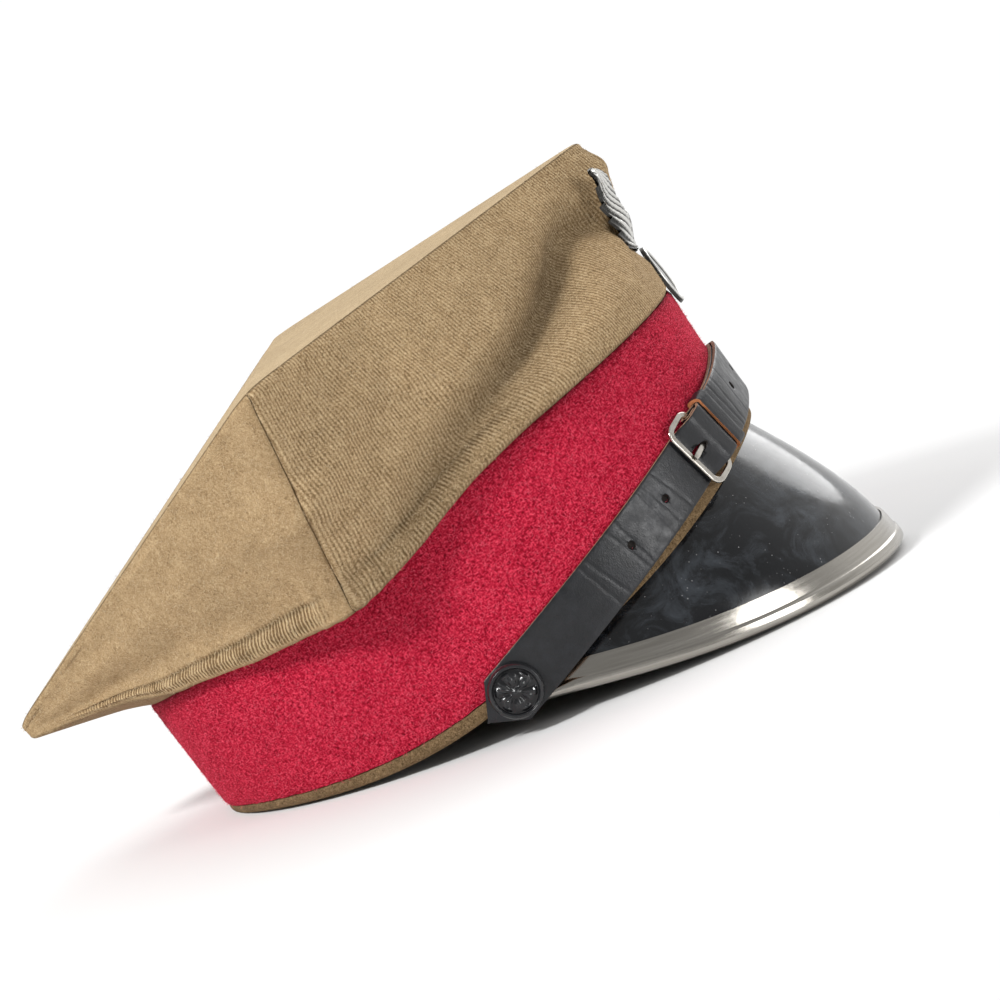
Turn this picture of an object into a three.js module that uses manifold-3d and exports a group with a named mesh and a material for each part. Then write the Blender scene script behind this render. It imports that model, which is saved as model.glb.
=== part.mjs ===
// A four-cornered peaked cap: a square cloth crown over a crimson band, a lacquered peak with a
// metal rim, a buckled leather chin strap on two buttons, and a winged badge with an oval plate.
// It is drawn as worn (band level), then tipped back to stand on its rear rim and on its peak.
// Millimetres. +X is forward, +Y the wearer's left, +Z up.
import * as THREE from "three";
import { mergeVertices } from "three/addons/utils/BufferGeometryUtils.js";
import Module from "manifold-3d";

const wasm = await Module();
wasm.setup();

// Driving dimensions: general
const clearance = 0.3;
const clothThickness = 2;

// Driving dimensions: band
const bandLength = 213.4;
const bandWidth = 172;
const bandHeight = 44;
const feltThickness = 2;
const baseThickness = 2;
const baseFootInset = 0.4;
const backBelly = 1.2;
const frontTaper = 2.4;
const sideDip = 17;
const frontDip = 3;
const dipAngleFront = 85;
const dipAngleBack = 100;
const dipPowerFront = 2;
const dipPowerBack = 2.9;
const trimAtBack = 2.6;
const trimAtSide = 4.8;

// Driving dimensions: crown, measured from the band's outer face and top edge
const frontReach = 7.2;
const frontRise = 55.2;
const backReach = 38.6;
const backRise = 19.6;
const sideReach = 43.5;
const sideRise = 63.3;
const sideCornerBack = 10;
const frontCornerRadius = 9;
const sideCornerRadius = 5;
const backCornerRadius = 4;
const topEdgeRadius = 0.8;
const sideSeamAngle = 103.5;
const hemLip = 0.6;
const rollRadius = 2.3;
const kneeOverhang = 15;
const kneeSag = 10;
const backLift = 13;
const foldDepth = 6.5;
const foldWidth = 0.17;

// Driving dimensions: peak
const peakThickness = 2;
const peakDepth = 61.2;
const peakTaper = 1.15;
const peakFlare = 17;
const peakHalfAngle = 92;
const peakTuck = 5;
const rimThickness = 0.8;
const rimWidth = 9.4;
const rimReturn = 5;

// Driving dimensions: chin strap, places along it counted from the middle of the front
const strapWidth = 18.2;
const strapThickness = 1.3;
const strapFrontHeight = 13.1;
const strapSideDrop = 28.1;
const strapCurve = 1.35;
const strapTipBeyondButton = 13.2;
const strapFreeEnd = 60;
const strapTipWidth = 0.6;
const skivedThickness = 0.9;
const foldedTail = 3;
const holeDiameter = 2.8;
const holeSpacing = 19;
const prongHoleAhead = 2.4;
const buckleWire = 1.8;
const buckleLength = 12.8;
const buckleWidth = 24.3;
const buckleCorner = 4;
const buckleEndPlace = -66.4;
const prongWidth = 2;
const prongThickness = 1;
const tongueLeaves = 162;
const keeperWidth = 5;
const keeperThickness = 1.1;
const keeperPlace = -47.2;
const meetingAfterKeeper = 4;
const meetingLength = 26;

// Driving dimensions: buttons and badge
const buttonDiameter = 17.4;
const buttonHeight = 3.6;
const buttonRelief = 0.5;
const buttonPetals = 6;
const buttonAngle = 93;
const wingThickness = 1;
const wingRelief = 0.6;
const wingRise = 31;
const wingSpan = 42;
const wingSweep = 7.5;
const wingStandoff = 0.4;
const featherNotch = 1.4;
const bossHeight = 14;
const bossWidth = 7;
const bossDepth = 2;
const plateHeight = 22;
const plateWidth = 16;
const plateThickness = 0.9;
const plateRim = 0.4;
const plateOverlap = 6;

// Driving dimension: how much of the cloth's rear rim is pressed flat where the cap rests
const restFlat = 0.8;

const bandHalfLength = bandLength / 2;
const bandHalfWidth = bandWidth / 2;
const radians = THREE.MathUtils.degToRad;
const lerp = THREE.MathUtils.lerp;

// Where the crown's panels sink into a valley and swell above the band. turn counts corners from
// the front one (0) by the side one (1) to the back one (2); valleyAt and swellAt are shares of
// the way down the wall, valleyIn and swellOut are shares of foldDepth.
const crownFolds = [
  { turn: 0.0, valleyAt: 0.7, valleyIn: 0.4, swellAt: 0.16, swellOut: 0.5 },
  { turn: 0.18, valleyAt: 0.36, valleyIn: 0.7, swellAt: 0.78, swellOut: 0.3 },
  { turn: 0.36, valleyAt: 0.58, valleyIn: 1.0, swellAt: 0.86, swellOut: 0.45 },
  { turn: 0.52, valleyAt: 0.74, valleyIn: 0.95, swellAt: 0.95, swellOut: 0.3 },
  { turn: 0.78, valleyAt: 0.88, valleyIn: 0.6, swellAt: 0.3, swellOut: 0.15 },
  { turn: 1.0, valleyAt: 0.9, valleyIn: 0.0, swellAt: 0.55, swellOut: 0.25 },
  { turn: 1.3, valleyAt: 0.8, valleyIn: 0.2, swellAt: 0.4, swellOut: 0.1 },
  { turn: 1.7, valleyAt: 0.75, valleyIn: 0.2, swellAt: 0.4, swellOut: 0.1 },
  { turn: 2.0, valleyAt: 0.75, valleyIn: 0.0, swellAt: 0.4, swellOut: 0.0 },
];

// The knee, where the cloth rolls under. sideOut, backOut, sag and lift are shares of
// kneeOverhang, backReach, kneeSag and backLift.
const crownKnees = [
  { turn: 0.0, sideOut: 0.0, backOut: 0.0, sag: 0.0, lift: 0.0 },
  { turn: 0.3, sideOut: 0.08, backOut: 0.0, sag: 0.0, lift: 0.0 },
  { turn: 0.6, sideOut: 0.18, backOut: 0.0, sag: 0.0, lift: 0.0 },
  { turn: 0.76, sideOut: 0.32, backOut: 0.0, sag: 0.22, lift: 0.0 },
  { turn: 0.87, sideOut: 0.56, backOut: 0.0, sag: 0.68, lift: 0.0 },
  { turn: 1.0, sideOut: 1.0, backOut: 0.0, sag: 1.0, lift: 0.0 },
  { turn: 1.13, sideOut: 0.62, backOut: 0.0, sag: 0.77, lift: 0.0 },
  { turn: 1.3, sideOut: 0.3, backOut: 0.02, sag: 0.46, lift: 0.0 },
  { turn: 1.5, sideOut: 0.1, backOut: 0.07, sag: 0.05, lift: 0.0 },
  { turn: 1.75, sideOut: 0.0, backOut: 0.22, sag: 0.0, lift: 0.42 },
  { turn: 1.9, sideOut: 0.0, backOut: 0.56, sag: 0.0, lift: 0.74 },
  { turn: 2.0, sideOut: 0.0, backOut: 0.97, sag: 0.0, lift: 1.0 },
];

// The badge's wing seen from the front, along it from its root to its tip: Across is a share of
// half the wingspan, Up one of the wing's rise, for the smooth inner edge and the feathered outer.
const wingOutline = [
  { along: 0.0, innerAcross: 0.06, innerUp: 0.04, outerAcross: 0.32, outerUp: 0.0 },
  { along: 0.2, innerAcross: 0.12, innerUp: 0.2, outerAcross: 0.62, outerUp: 0.1 },
  { along: 0.4, innerAcross: 0.22, innerUp: 0.42, outerAcross: 0.86, outerUp: 0.3 },
  { along: 0.6, innerAcross: 0.4, innerUp: 0.64, outerAcross: 0.98, outerUp: 0.52 },
  { along: 0.8, innerAcross: 0.64, innerUp: 0.83, outerAcross: 1.0, outerUp: 0.74 },
  { along: 1.0, innerAcross: 0.93, innerUp: 0.99, outerAcross: 1.0, outerUp: 0.96 },
];
const featherCount = 8;

// A smooth value of one column of a table at a place given in another column.
function tableValue(rows, place, column, at) {
  const last = rows.length - 1;
  const found = rows.findIndex((row) => row[place] > at);
  const k = found < 0 ? last - 1 : Math.max(found - 1, 0);
  const span = rows[k + 1][place] - rows[k][place];
  const share = THREE.MathUtils.clamp((at - rows[k][place]) / span, 0, 1);
  const slope = (i) => {
    if (i <= 0 || i >= last) return 0;
    const before = rows[i][column] - rows[i - 1][column];
    const after = rows[i + 1][column] - rows[i][column];
    if (before * after <= 0) return 0;
    return (before + after) / (rows[i + 1][place] - rows[i - 1][place]);
  };
  const cubed = share ** 3;
  const squared = share ** 2;
  return (
    (2 * cubed - 3 * squared + 1) * rows[k][column] +
    (cubed - 2 * squared + share) * span * slope(k) +
    (3 * squared - 2 * cubed) * rows[k + 1][column] +
    (cubed - squared) * span * slope(k + 1)
  );
}

const evenSteps = (from, to, count) =>
  Array.from({ length: count + 1 }, (_, i) => lerp(from, to, i / count));

// Turns a list of triangles (corners in threes) into a geometry with shared corners, no collapsed
// faces, and its faces pointing out.
function closedGeometry(corners) {
  const raw = new THREE.BufferGeometry().setFromPoints(corners);
  const merged = mergeVertices(raw, 1e-3);
  const index = merged.index.array;
  const position = merged.attributes.position;
  const faces = [];
  let volume = 0;
  for (let i = 0; i < index.length; i += 3) {
    const [a, b, c] = [index[i], index[i + 1], index[i + 2]];
    if (a === b || b === c || a === c) continue;
    faces.push([a, b, c]);
    const [p, q, r] = [a, b, c].map((n) => new THREE.Vector3().fromBufferAttribute(position, n));
    volume += p.dot(q.cross(r));
  }
  const facing = volume < 0 ? faces.map(([a, b, c]) => [a, c, b]) : faces;
  merged.setIndex(facing.flat());
  return merged;
}

// A closed solid between an outer and an inner grid of points. Both are lists of rows, and with
// wrap the last row joins the first.
function sheetSolid(outer, inner, wrap = false) {
  const corners = [];
  const quad = (a, b, c, d) => corners.push(a, b, c, a, c, d);
  const rows = outer.length;
  const last = outer[0].length - 1;
  for (let i = 0; i < (wrap ? rows : rows - 1); i += 1) {
    const n = (i + 1) % rows;
    for (let j = 0; j < last; j += 1) {
      quad(outer[i][j], outer[n][j], outer[n][j + 1], outer[i][j + 1]);
      quad(inner[i][j], inner[i][j + 1], inner[n][j + 1], inner[n][j]);
    }
    quad(outer[i][0], inner[i][0], inner[n][0], outer[n][0]);
    quad(outer[i][last], outer[n][last], inner[n][last], inner[i][last]);
  }
  if (!wrap) {
    const end = rows - 1;
    for (let j = 0; j < last; j += 1) {
      quad(outer[0][j], outer[0][j + 1], inner[0][j + 1], inner[0][j]);
      quad(outer[end][j], inner[end][j], inner[end][j + 1], outer[end][j + 1]);
    }
  }
  return closedGeometry(corners);
}

// Solids for cutting and joining
function toSolid(geometry) {
  const bare = geometry.index ? geometry.toNonIndexed() : geometry.clone();
  bare.deleteAttribute("normal");
  bare.deleteAttribute("uv");
  const merged = mergeVertices(bare, 1e-3);
  return new wasm.Manifold(
    new wasm.Mesh({
      numProp: 3,
      vertProperties: new Float32Array(merged.attributes.position.array),
      triVerts: new Uint32Array(merged.index.array),
    }),
  );
}

function fromSolid(solid) {
  const mesh = solid.getMesh();
  const geometry = new THREE.BufferGeometry();
  geometry.setAttribute("position", new THREE.BufferAttribute(mesh.vertProperties, 3));
  geometry.setIndex(new THREE.BufferAttribute(mesh.triVerts, 1));
  return geometry;
}

const cut = (geometry, tools) =>
  fromSolid(tools.reduce((solid, tool) => solid.subtract(toSolid(tool)), toSolid(geometry)));

const join = (geometries) =>
  fromSolid(geometries.map(toSolid).reduce((whole, piece) => whole.add(piece)));

// The same geometry on the other side of the cap
function mirrored(geometry) {
  const corners = [];
  const flat = geometry.index ? geometry.toNonIndexed() : geometry;
  const position = flat.attributes.position;
  for (let i = 0; i < position.count; i += 1) {
    corners.push(new THREE.Vector3(position.getX(i), -position.getY(i), position.getZ(i)));
  }
  return closedGeometry(corners);
}

// Band: a point at an angle round the head, out from the band's outer face
function bandOutward(angle) {
  const x = Math.cos(angle) / bandHalfLength;
  const y = Math.sin(angle) / bandHalfWidth;
  return new THREE.Vector3(x, y, 0).normalize();
}

// How far the cloth of the band swells at the back and draws in at the front, most at its lower
// edge
function bandBelly(angle, height) {
  const below = THREE.MathUtils.clamp((bandHeight - height) / bandHeight, 0, 1);
  const behind = Math.max(0, -Math.cos(angle)) ** 2;
  const ahead = Math.max(0, Math.cos(angle)) ** 2;
  return (backBelly * behind - frontTaper * ahead) * Math.sin((below * Math.PI) / 2);
}

function bandPoint(angle, out, height) {
  const x = bandHalfLength * Math.cos(angle);
  const y = bandHalfWidth * Math.sin(angle);
  const reach = out + bandBelly(angle, height);
  return new THREE.Vector3(x, y, height).addScaledVector(bandOutward(angle), reach);
}

// How far round from the front or the back to the deepest place of the lower edge, 0 to 1
function dipShare(angle) {
  const round = Math.abs(angle);
  const fromFront = round / radians(dipAngleFront);
  const fromBack = (Math.PI - round) / (Math.PI - radians(dipAngleBack));
  return Math.min(fromFront, fromBack, 1);
}

function lowerEdge(angle) {
  const ahead = Math.abs(angle) < radians(dipAngleBack);
  const power = ahead ? dipPowerFront : dipPowerBack;
  const depth = Math.sin((dipShare(angle) * Math.PI) / 2) ** power;
  return -lerp(ahead ? frontDip : 0, sideDip, depth);
}

function trimHeight(angle) {
  const behind = Math.abs(angle) > radians(dipAngleBack);
  return lerp(trimAtBack, trimAtSide, behind ? dipShare(angle) : 1);
}

const ringSteps = 48;
const bandSteps = 2;
const ringAngles = evenSteps(-Math.PI, Math.PI, ringSteps).slice(0, ringSteps);
const baseOuter = -feltThickness - clearance;
const baseInner = baseOuter - baseThickness;

function redBand() {
  const face = (out) =>
    ringAngles.map((angle) =>
      evenSteps(bandHeight, lowerEdge(angle) + trimHeight(angle), bandSteps).map((height) =>
        bandPoint(angle, out, height),
      ),
    );
  return sheetSolid(face(0), face(-feltThickness), true);
}

function baseBand() {
  const outer = ringAngles.map((angle) => {
    const low = lowerEdge(angle);
    const footTop = low + trimHeight(angle) - clearance;
    const heights = evenSteps(bandHeight, footTop, bandSteps);
    return [
      ...heights.map((height) => bandPoint(angle, baseOuter, height)),
      bandPoint(angle, -baseFootInset, footTop),
      bandPoint(angle, -baseFootInset, low),
    ];
  });
  const inner = ringAngles.map((angle) => {
    const low = lowerEdge(angle);
    const footTop = low + trimHeight(angle) - clearance;
    const heights = evenSteps(bandHeight, footTop, bandSteps);
    return [...heights, lerp(footTop, low, 0.5), low].map((height) =>
      bandPoint(angle, baseInner, height),
    );
  });
  return sheetSolid(outer, inner, true);
}

// Crown: the square top's corners, front, left, back and right. Rounding a right angle with a
// quadratic curve draws the tip in by a quarter of the diagonal of its radius.
const tipShare = Math.SQRT2 / 4;
const topCorners = [
  {
    point: new THREE.Vector3(bandHalfLength + frontReach, 0, bandHeight + frontRise),
    outward: new THREE.Vector3(1, 0, 0),
    radius: frontCornerRadius,
  },
  {
    point: new THREE.Vector3(-sideCornerBack, bandHalfWidth + sideReach, bandHeight + sideRise),
    outward: new THREE.Vector3(0, 1, 0),
    radius: sideCornerRadius,
  },
  {
    point: new THREE.Vector3(-bandHalfLength - backReach, 0, bandHeight + backRise),
    outward: new THREE.Vector3(-1, 0, 0),
    radius: backCornerRadius,
  },
  {
    point: new THREE.Vector3(-sideCornerBack, -bandHalfWidth - sideReach, bandHeight + sideRise),
    outward: new THREE.Vector3(0, -1, 0),
    radius: sideCornerRadius,
  },
].map((corner) => ({
  ...corner,
  sharp: corner.point.clone().addScaledVector(corner.outward, tipShare * corner.radius),
}));
const topCorner = (k) => topCorners[(k + 4) % 4];

// The share of an edge that a rounded corner takes
function cornerShare(k, neighbour) {
  const here = topCorner(k);
  return here.radius / here.sharp.distanceTo(topCorner(neighbour).sharp);
}

// The top's outline at a turn from 0 to 4
function topOutline(turn) {
  const wrapped = ((turn % 4) + 4) % 4;
  const k = Math.floor(wrapped);
  const along = wrapped - k;
  const startShare = cornerShare(k, k + 1);
  const endShare = cornerShare(k + 1, k);
  const rounded = (corner, share) => {
    const here = topCorner(corner).sharp;
    const enter = here.clone().lerp(topCorner(corner - 1).sharp, cornerShare(corner, corner - 1));
    const leave = here.clone().lerp(topCorner(corner + 1).sharp, cornerShare(corner, corner + 1));
    return new THREE.QuadraticBezierCurve3(enter, here, leave).getPoint(share);
  };
  if (along < startShare) return rounded(k, 0.5 + (0.5 * along) / startShare);
  if (along > 1 - endShare) return rounded(k + 1, 0.5 - (0.5 * (1 - along)) / endShare);
  return topCorner(k).sharp.clone().lerp(topCorner(k + 1).sharp, along);
}

function topOutward(turn) {
  const step = 0.004;
  const along = topOutline(turn + step).sub(topOutline(turn - step));
  return new THREE.Vector3(along.y, -along.x, 0).normalize();
}

// Turns that show the rounded corners as well as the straight stretch between them
function quarterTurns(k, straightSteps) {
  const start = cornerShare(k, k + 1);
  const end = cornerShare(k + 1, k);
  return [0, start / 2, ...evenSteps(start, 1 - end, straightSteps), 1 - end / 2, 1].map(
    (share) => k + share,
  );
}

function bandAngle(turn) {
  const seam = radians(sideSeamAngle);
  return turn <= 1 ? seam * turn : lerp(seam, Math.PI, turn - 1);
}

function kneeAt(turn) {
  const value = (column) => tableValue(crownKnees, "turn", column, turn);
  return {
    out: hemLip + kneeOverhang * value("sideOut") + backReach * value("backOut"),
    height: bandHeight + clearance - kneeSag * value("sag") + backLift * value("lift"),
  };
}

// How far the wall stands out of the straight line between its edge and its knee
function wallPush(turn, down) {
  const value = (column) => tableValue(crownFolds, "turn", column, turn);
  const hump = (at) => Math.exp(-(((down - at) / foldWidth) ** 2));
  const ends = Math.sqrt(Math.sin(Math.PI * down));
  const swell = value("swellOut") * hump(value("swellAt"));
  const valley = value("valleyIn") * hump(value("valleyAt"));
  return foldDepth * ends * (swell - valley);
}

const wallSteps = 8;
const rollSteps = 4;
const leastRoll = radians(12);

// One section of a crown wall, from the top edge down, round the knee and in over the band.
// inset is 0 for the outer face of the cloth and its thickness for the inner face.
function crownSection(turn, inset) {
  const angle = bandAngle(turn);
  const outward = bandOutward(angle);
  const knee = kneeAt(turn);
  const radius = rollRadius - inset;
  const centreOut = knee.out - rollRadius;
  const centreHeight = knee.height + rollRadius;
  const at = (out, height) => bandPoint(angle, out, height);
  const points = [];

  const edge = topOutline(turn).addScaledVector(topOutward(turn), -inset);
  edge.z -= clothThickness + clearance;
  const foot = at(centreOut + radius, centreHeight);
  const facing = topOutward(turn).add(outward).normalize();
  for (const down of evenSteps(0, 1, wallSteps)) {
    points.push(edge.clone().lerp(foot, down).addScaledVector(facing, wallPush(turn, down)));
  }

  // The roll ends where a line to the hem leaves it
  const hemHeight = bandHeight + clearance;
  const hemOut = Math.min(hemLip, centreOut);
  const toHem = new THREE.Vector2(hemOut - centreOut, hemHeight - centreHeight);
  const leaving = Math.acos(Math.min(1, rollRadius / toHem.length()));
  const hemAngle = Math.atan2(toHem.y, toHem.x);
  const rolled = (hemAngle > 0 ? hemAngle - 2 * Math.PI : hemAngle) + leaving;
  const endAngle = Math.min(rolled, -leastRoll);
  for (const turned of evenSteps(0, endAngle, rollSteps).slice(1)) {
    points.push(
      at(centreOut + radius * Math.cos(turned), centreHeight + radius * Math.sin(turned)),
    );
  }
  const mitre = (-inset * (1 + Math.sin(endAngle))) / Math.cos(endAngle);
  points.push(at(hemOut + mitre, hemHeight + inset));
  points.push(at(baseInner, hemHeight + inset));
  return points;
}

function crownWall(k, startShift, endShift) {
  const turns = quarterTurns(k, 7);
  const shift = (i) => {
    if (i === 0) return startShift;
    return i === turns.length - 1 ? endShift : null;
  };
  const face = (inset) =>
    turns.map((turn, i) =>
      crownSection(turn, inset).map((point) =>
        shift(i) ? point.addScaledVector(shift(i), clearance / 2) : point,
      ),
    );
  return sheetSolid(face(0), face(clothThickness));
}

const forward = new THREE.Vector3(1, 0, 0);
const leftward = new THREE.Vector3(0, 1, 0);
const crownFrontLeft = () => crownWall(0, leftward, forward);
const crownBackLeft = () => crownWall(1, forward.clone().negate(), leftward);

// The top, folded between its side corners. spread and innerSpread are the shares of the way from
// the middle of that fold to the edge at which its two faces have corners.
function crownTop() {
  const turns = [0, 1, 2, 3].flatMap((k) => quarterTurns(k, 7).slice(0, -1));
  const middle = topCorners[1].point.clone().lerp(topCorners[3].point, 0.5);
  const spread = [0, 0.45, 0.8];
  const innerSpread = [...spread, 0.9, 0.95, 1];
  const outer = turns.map((turn) => {
    const edge = topOutline(turn);
    const softened = edge.clone().addScaledVector(topOutward(turn), -topEdgeRadius);
    const lowered = edge.clone();
    lowered.z -= topEdgeRadius;
    const bottom = edge.clone();
    bottom.z -= clothThickness;
    const flat = spread.map((share) => middle.clone().lerp(softened, share));
    return [...flat, softened, lowered, bottom];
  });
  const inner = turns.map((turn) => {
    const edge = topOutline(turn);
    const flat = innerSpread.map((share) => middle.clone().lerp(edge, share));
    flat.forEach((point) => {
      point.z -= clothThickness;
    });
    return flat;
  });
  return sheetSolid(outer, inner, true);
}

// Peak: a curved plate from inside the base band down to its edge
const peakHalf = radians(peakHalfAngle);
const peakSteps = 26;
const peakAngles = evenSteps(-peakHalf, peakHalf, peakSteps);
const peakRoot = baseInner - clearance;
const peakEndShare = 0.08;

function peakSize(angle) {
  const ahead = Math.max(0, Math.cos((angle / peakHalf) * (Math.PI / 2)));
  return lerp(peakEndShare, 1, ahead ** peakTaper);
}

const peakEdge = (angle) => lowerEdge(angle) - peakDepth * peakSize(angle);

// How far the peak's outer face stands out at a height below the band
function peakOut(angle, height) {
  const low = lowerEdge(angle) - clearance;
  const down = THREE.MathUtils.clamp((low - height) / (low - peakEdge(angle)), 0, 1);
  return peakRoot + peakFlare * peakSize(angle) * Math.sin((down * Math.PI) / 2);
}

function peak() {
  const face = (inset) =>
    peakAngles.map((angle) => {
      const low = lowerEdge(angle) - clearance;
      const heights = evenSteps(low, peakEdge(angle), 6);
      return [low + peakTuck, ...heights].map((height) =>
        bandPoint(angle, peakOut(angle, height) - inset, height),
      );
    });
  return sheetSolid(face(0), face(peakThickness));
}

function peakRim() {
  const wall = (gap) =>
    peakAngles.map((angle) => {
      const edge = peakEdge(angle);
      const top = Math.min(edge + rimWidth, lowerEdge(angle) - 2 * clearance);
      const returnTop = Math.min(edge + rimReturn, top);
      const outside = (height) => bandPoint(angle, peakOut(angle, height) + gap, height);
      const inside = (height) =>
        bandPoint(angle, peakOut(angle, height) - peakThickness - gap, height);
      const outsideEdge = outside(edge);
      const insideEdge = inside(edge);
      outsideEdge.z -= gap;
      insideEdge.z -= gap;
      return [outside(top), outside(lerp(top, edge, 0.5)), outsideEdge, insideEdge, inside(returnTop)];
    });
  return sheetSolid(wall(clearance + rimThickness), wall(clearance));
}

// Chin strap: a path round the front of the band, and points by their place along it, across it
// (up) and out of the band's face
const strapPath = new THREE.CatmullRomCurve3(
  evenSteps(-110, 110, 44).map((degrees) => {
    const drop = Math.abs(degrees / buttonAngle) ** strapCurve;
    return bandPoint(radians(degrees), 0, strapFrontHeight - strapSideDrop * drop);
  }),
);
strapPath.arcLengthDivisions = 800;
const strapPathLength = strapPath.getLength();

function strapFrame(place) {
  const share = 0.5 + place / strapPathLength;
  const point = strapPath.getPointAt(share);
  const along = strapPath.getTangentAt(share);
  const angle = Math.atan2(point.y / bandHalfWidth, point.x / bandHalfLength);
  const rise = bandPoint(angle, 0, point.z + 1).sub(bandPoint(angle, 0, point.z));
  const outward = along.clone().cross(rise).normalize();
  return { point, along, outward, upward: outward.clone().cross(along) };
}

function strapPoint(place, across, out) {
  const frame = strapFrame(place);
  return frame.point.addScaledVector(frame.upward, across).addScaledVector(frame.outward, out);
}

// The place along the strap where it passes an angle round the band
function placeAtAngle(angle) {
  let [low, high] = [0, 0.5 * strapPathLength];
  for (let i = 0; i < 30; i += 1) {
    const middle = (low + high) / 2;
    const { point } = strapFrame(middle);
    if (Math.atan2(point.y / bandHalfWidth, point.x / bandHalfLength) < angle) low = middle;
    else high = middle;
  }
  return (low + high) / 2;
}
const buttonPlace = placeAtAngle(radians(buttonAngle));

// Layers out of the band's face. The left strap's skived end folds round the buckle's bar, and
// then it rides on the keeper's inner leg. The right strap climbs from the band over that fold
// and lies on the left strap. Past the keeper both sink together until the lower one lies on the
// band.
const wireRadius = buckleWire / 2;
const buckleBarPlace = buckleEndPlace + buckleLength - buckleWire;
const keeperBack = keeperPlace - keeperWidth / 2;
const keeperFront = keeperPlace + keeperWidth / 2;
const lowerLayer = clearance;
const keeperLayer = keeperThickness + 2 * clearance;
const upperLayer = keeperLayer + strapThickness + clearance;
const barLayer = lowerLayer + skivedThickness + clearance + wireRadius;
const foldLayer = barLayer + wireRadius + clearance;
const overFoldLayer = foldLayer + skivedThickness + clearance;
const frameEndLayer = lowerLayer + strapThickness + clearance + wireRadius;
const meetingStart = keeperFront + meetingAfterKeeper;
const meetingEnd = meetingStart + meetingLength;

const ease = (place, from, to) => THREE.MathUtils.smoothstep(place, from, to);

// The lower face of the right strap, and of the left one under it
function rightStrapLayer(place) {
  const foldBack = buckleBarPlace - wireRadius - clearance;
  const climbed = ease(place, buckleEndPlace + wireRadius, foldBack);
  const settled = ease(place, buckleBarPlace + foldedTail, keeperBack);
  const high = lerp(lerp(lowerLayer, overFoldLayer, climbed), upperLayer, settled);
  const low = lowerLayer + strapThickness + clearance;
  return lerp(high, low, ease(place, meetingStart, meetingEnd));
}

function leftStrapLayer(place) {
  const risen = lerp(lowerLayer, keeperLayer, ease(place, buckleBarPlace + 1, keeperBack));
  return lerp(risen, lowerLayer, ease(place, meetingStart, meetingEnd));
}

// Half of the strap's width, narrowing to a point beyond the button
function strapHalfWidth(place) {
  const toTip = buttonPlace + strapTipBeyondButton - Math.abs(place);
  return THREE.MathUtils.clamp(toTip, strapTipWidth / 2, strapWidth / 2);
}

const acrossShares = [1, 0, -1];

// The prong from the side: x is its place along the strap and y its height out of the band. A
// loop round the hinge bar carries a tongue, which leaves the loop at tongueLeaves degrees and
// whose tip lies on the frame's end bar.
function prongProfile(grow, withBore) {
  const profile = new THREE.Shape();
  const loop = wireRadius + clearance + prongThickness;
  const tipPlace = buckleEndPlace - wireRadius / 2 - grow;
  const tipLow = frameEndLayer + wireRadius + clearance - grow;
  const tipHigh = tipLow + prongThickness + 2 * grow;
  const leave = radians(tongueLeaves);
  profile.moveTo(tipPlace, tipLow);
  profile.lineTo(
    buckleBarPlace + loop * Math.cos(leave) - grow,
    barLayer + loop * Math.sin(leave) - grow,
  );
  profile.absarc(buckleBarPlace, barLayer, loop, leave, 2.5 * Math.PI, false);
  profile.lineTo(buckleBarPlace - loop / 2, barLayer + loop + grow);
  profile.lineTo(tipPlace, tipHigh);
  profile.closePath();
  if (withBore) {
    const bore = new THREE.Path();
    bore.absarc(buckleBarPlace, barLayer, wireRadius + clearance, 0, 2 * Math.PI, true);
    profile.holes.push(bore);
  }
  return profile;
}

// An outline of place and height, given a width across the strap and bent with it
function alongStrap(profile, width) {
  const solid = new THREE.ExtrudeGeometry(profile, {
    depth: width,
    bevelEnabled: false,
    curveSegments: 8,
  });
  solid.translate(0, 0, -width / 2);
  const position = solid.attributes.position;
  for (let i = 0; i < position.count; i += 1) {
    const point = strapPoint(position.getX(i), position.getZ(i), position.getY(i));
    position.setXYZ(i, point.x, point.y, point.z);
  }
  const flat = solid.index ? solid.toNonIndexed() : solid;
  const corners = [];
  for (let i = 0; i < flat.attributes.position.count; i += 1) {
    corners.push(new THREE.Vector3().fromBufferAttribute(flat.attributes.position, i));
  }
  return closedGeometry(corners);
}

const buckleProng = () => alongStrap(prongProfile(0, true), prongWidth);

// The holes along the right strap, counted from the one that the prong takes. There is none
// where the keeper lies.
const prongHolePlace = buckleEndPlace + prongHoleAhead;
const freeHoles = [-2, -1, 2, 3].map((n) => prongHolePlace + n * holeSpacing);

function strapHole(place) {
  const hole = new THREE.CylinderGeometry(
    holeDiameter / 2,
    holeDiameter / 2,
    4 * strapThickness,
    10,
  );
  const { along, outward, upward } = strapFrame(place);
  const centre = strapPoint(place, 0, rightStrapLayer(place) + strapThickness / 2);
  const axes = new THREE.Matrix4().makeBasis(upward, outward, along);
  return hole.applyMatrix4(axes).translate(centre.x, centre.y, centre.z);
}

function rightStrap() {
  const tip = -(buttonPlace + strapTipBeyondButton);
  const shoulder = tip + strapWidth / 2;
  const places = [
    tip,
    ...evenSteps(shoulder, buckleEndPlace, 14),
    ...evenSteps(buckleEndPlace, keeperBack, 10).slice(1),
    ...evenSteps(keeperBack, strapFreeEnd, 16).slice(1),
  ];
  const face = (height) =>
    places.map((place) =>
      acrossShares.map((share) =>
        strapPoint(place, share * strapHalfWidth(place), rightStrapLayer(place) + height),
      ),
    );
  const slot = alongStrap(prongProfile(clearance, false), prongWidth + 2 * clearance);
  return cut(sheetSolid(face(strapThickness), face(0)), [...freeHoles.map(strapHole), slot]);
}

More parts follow.
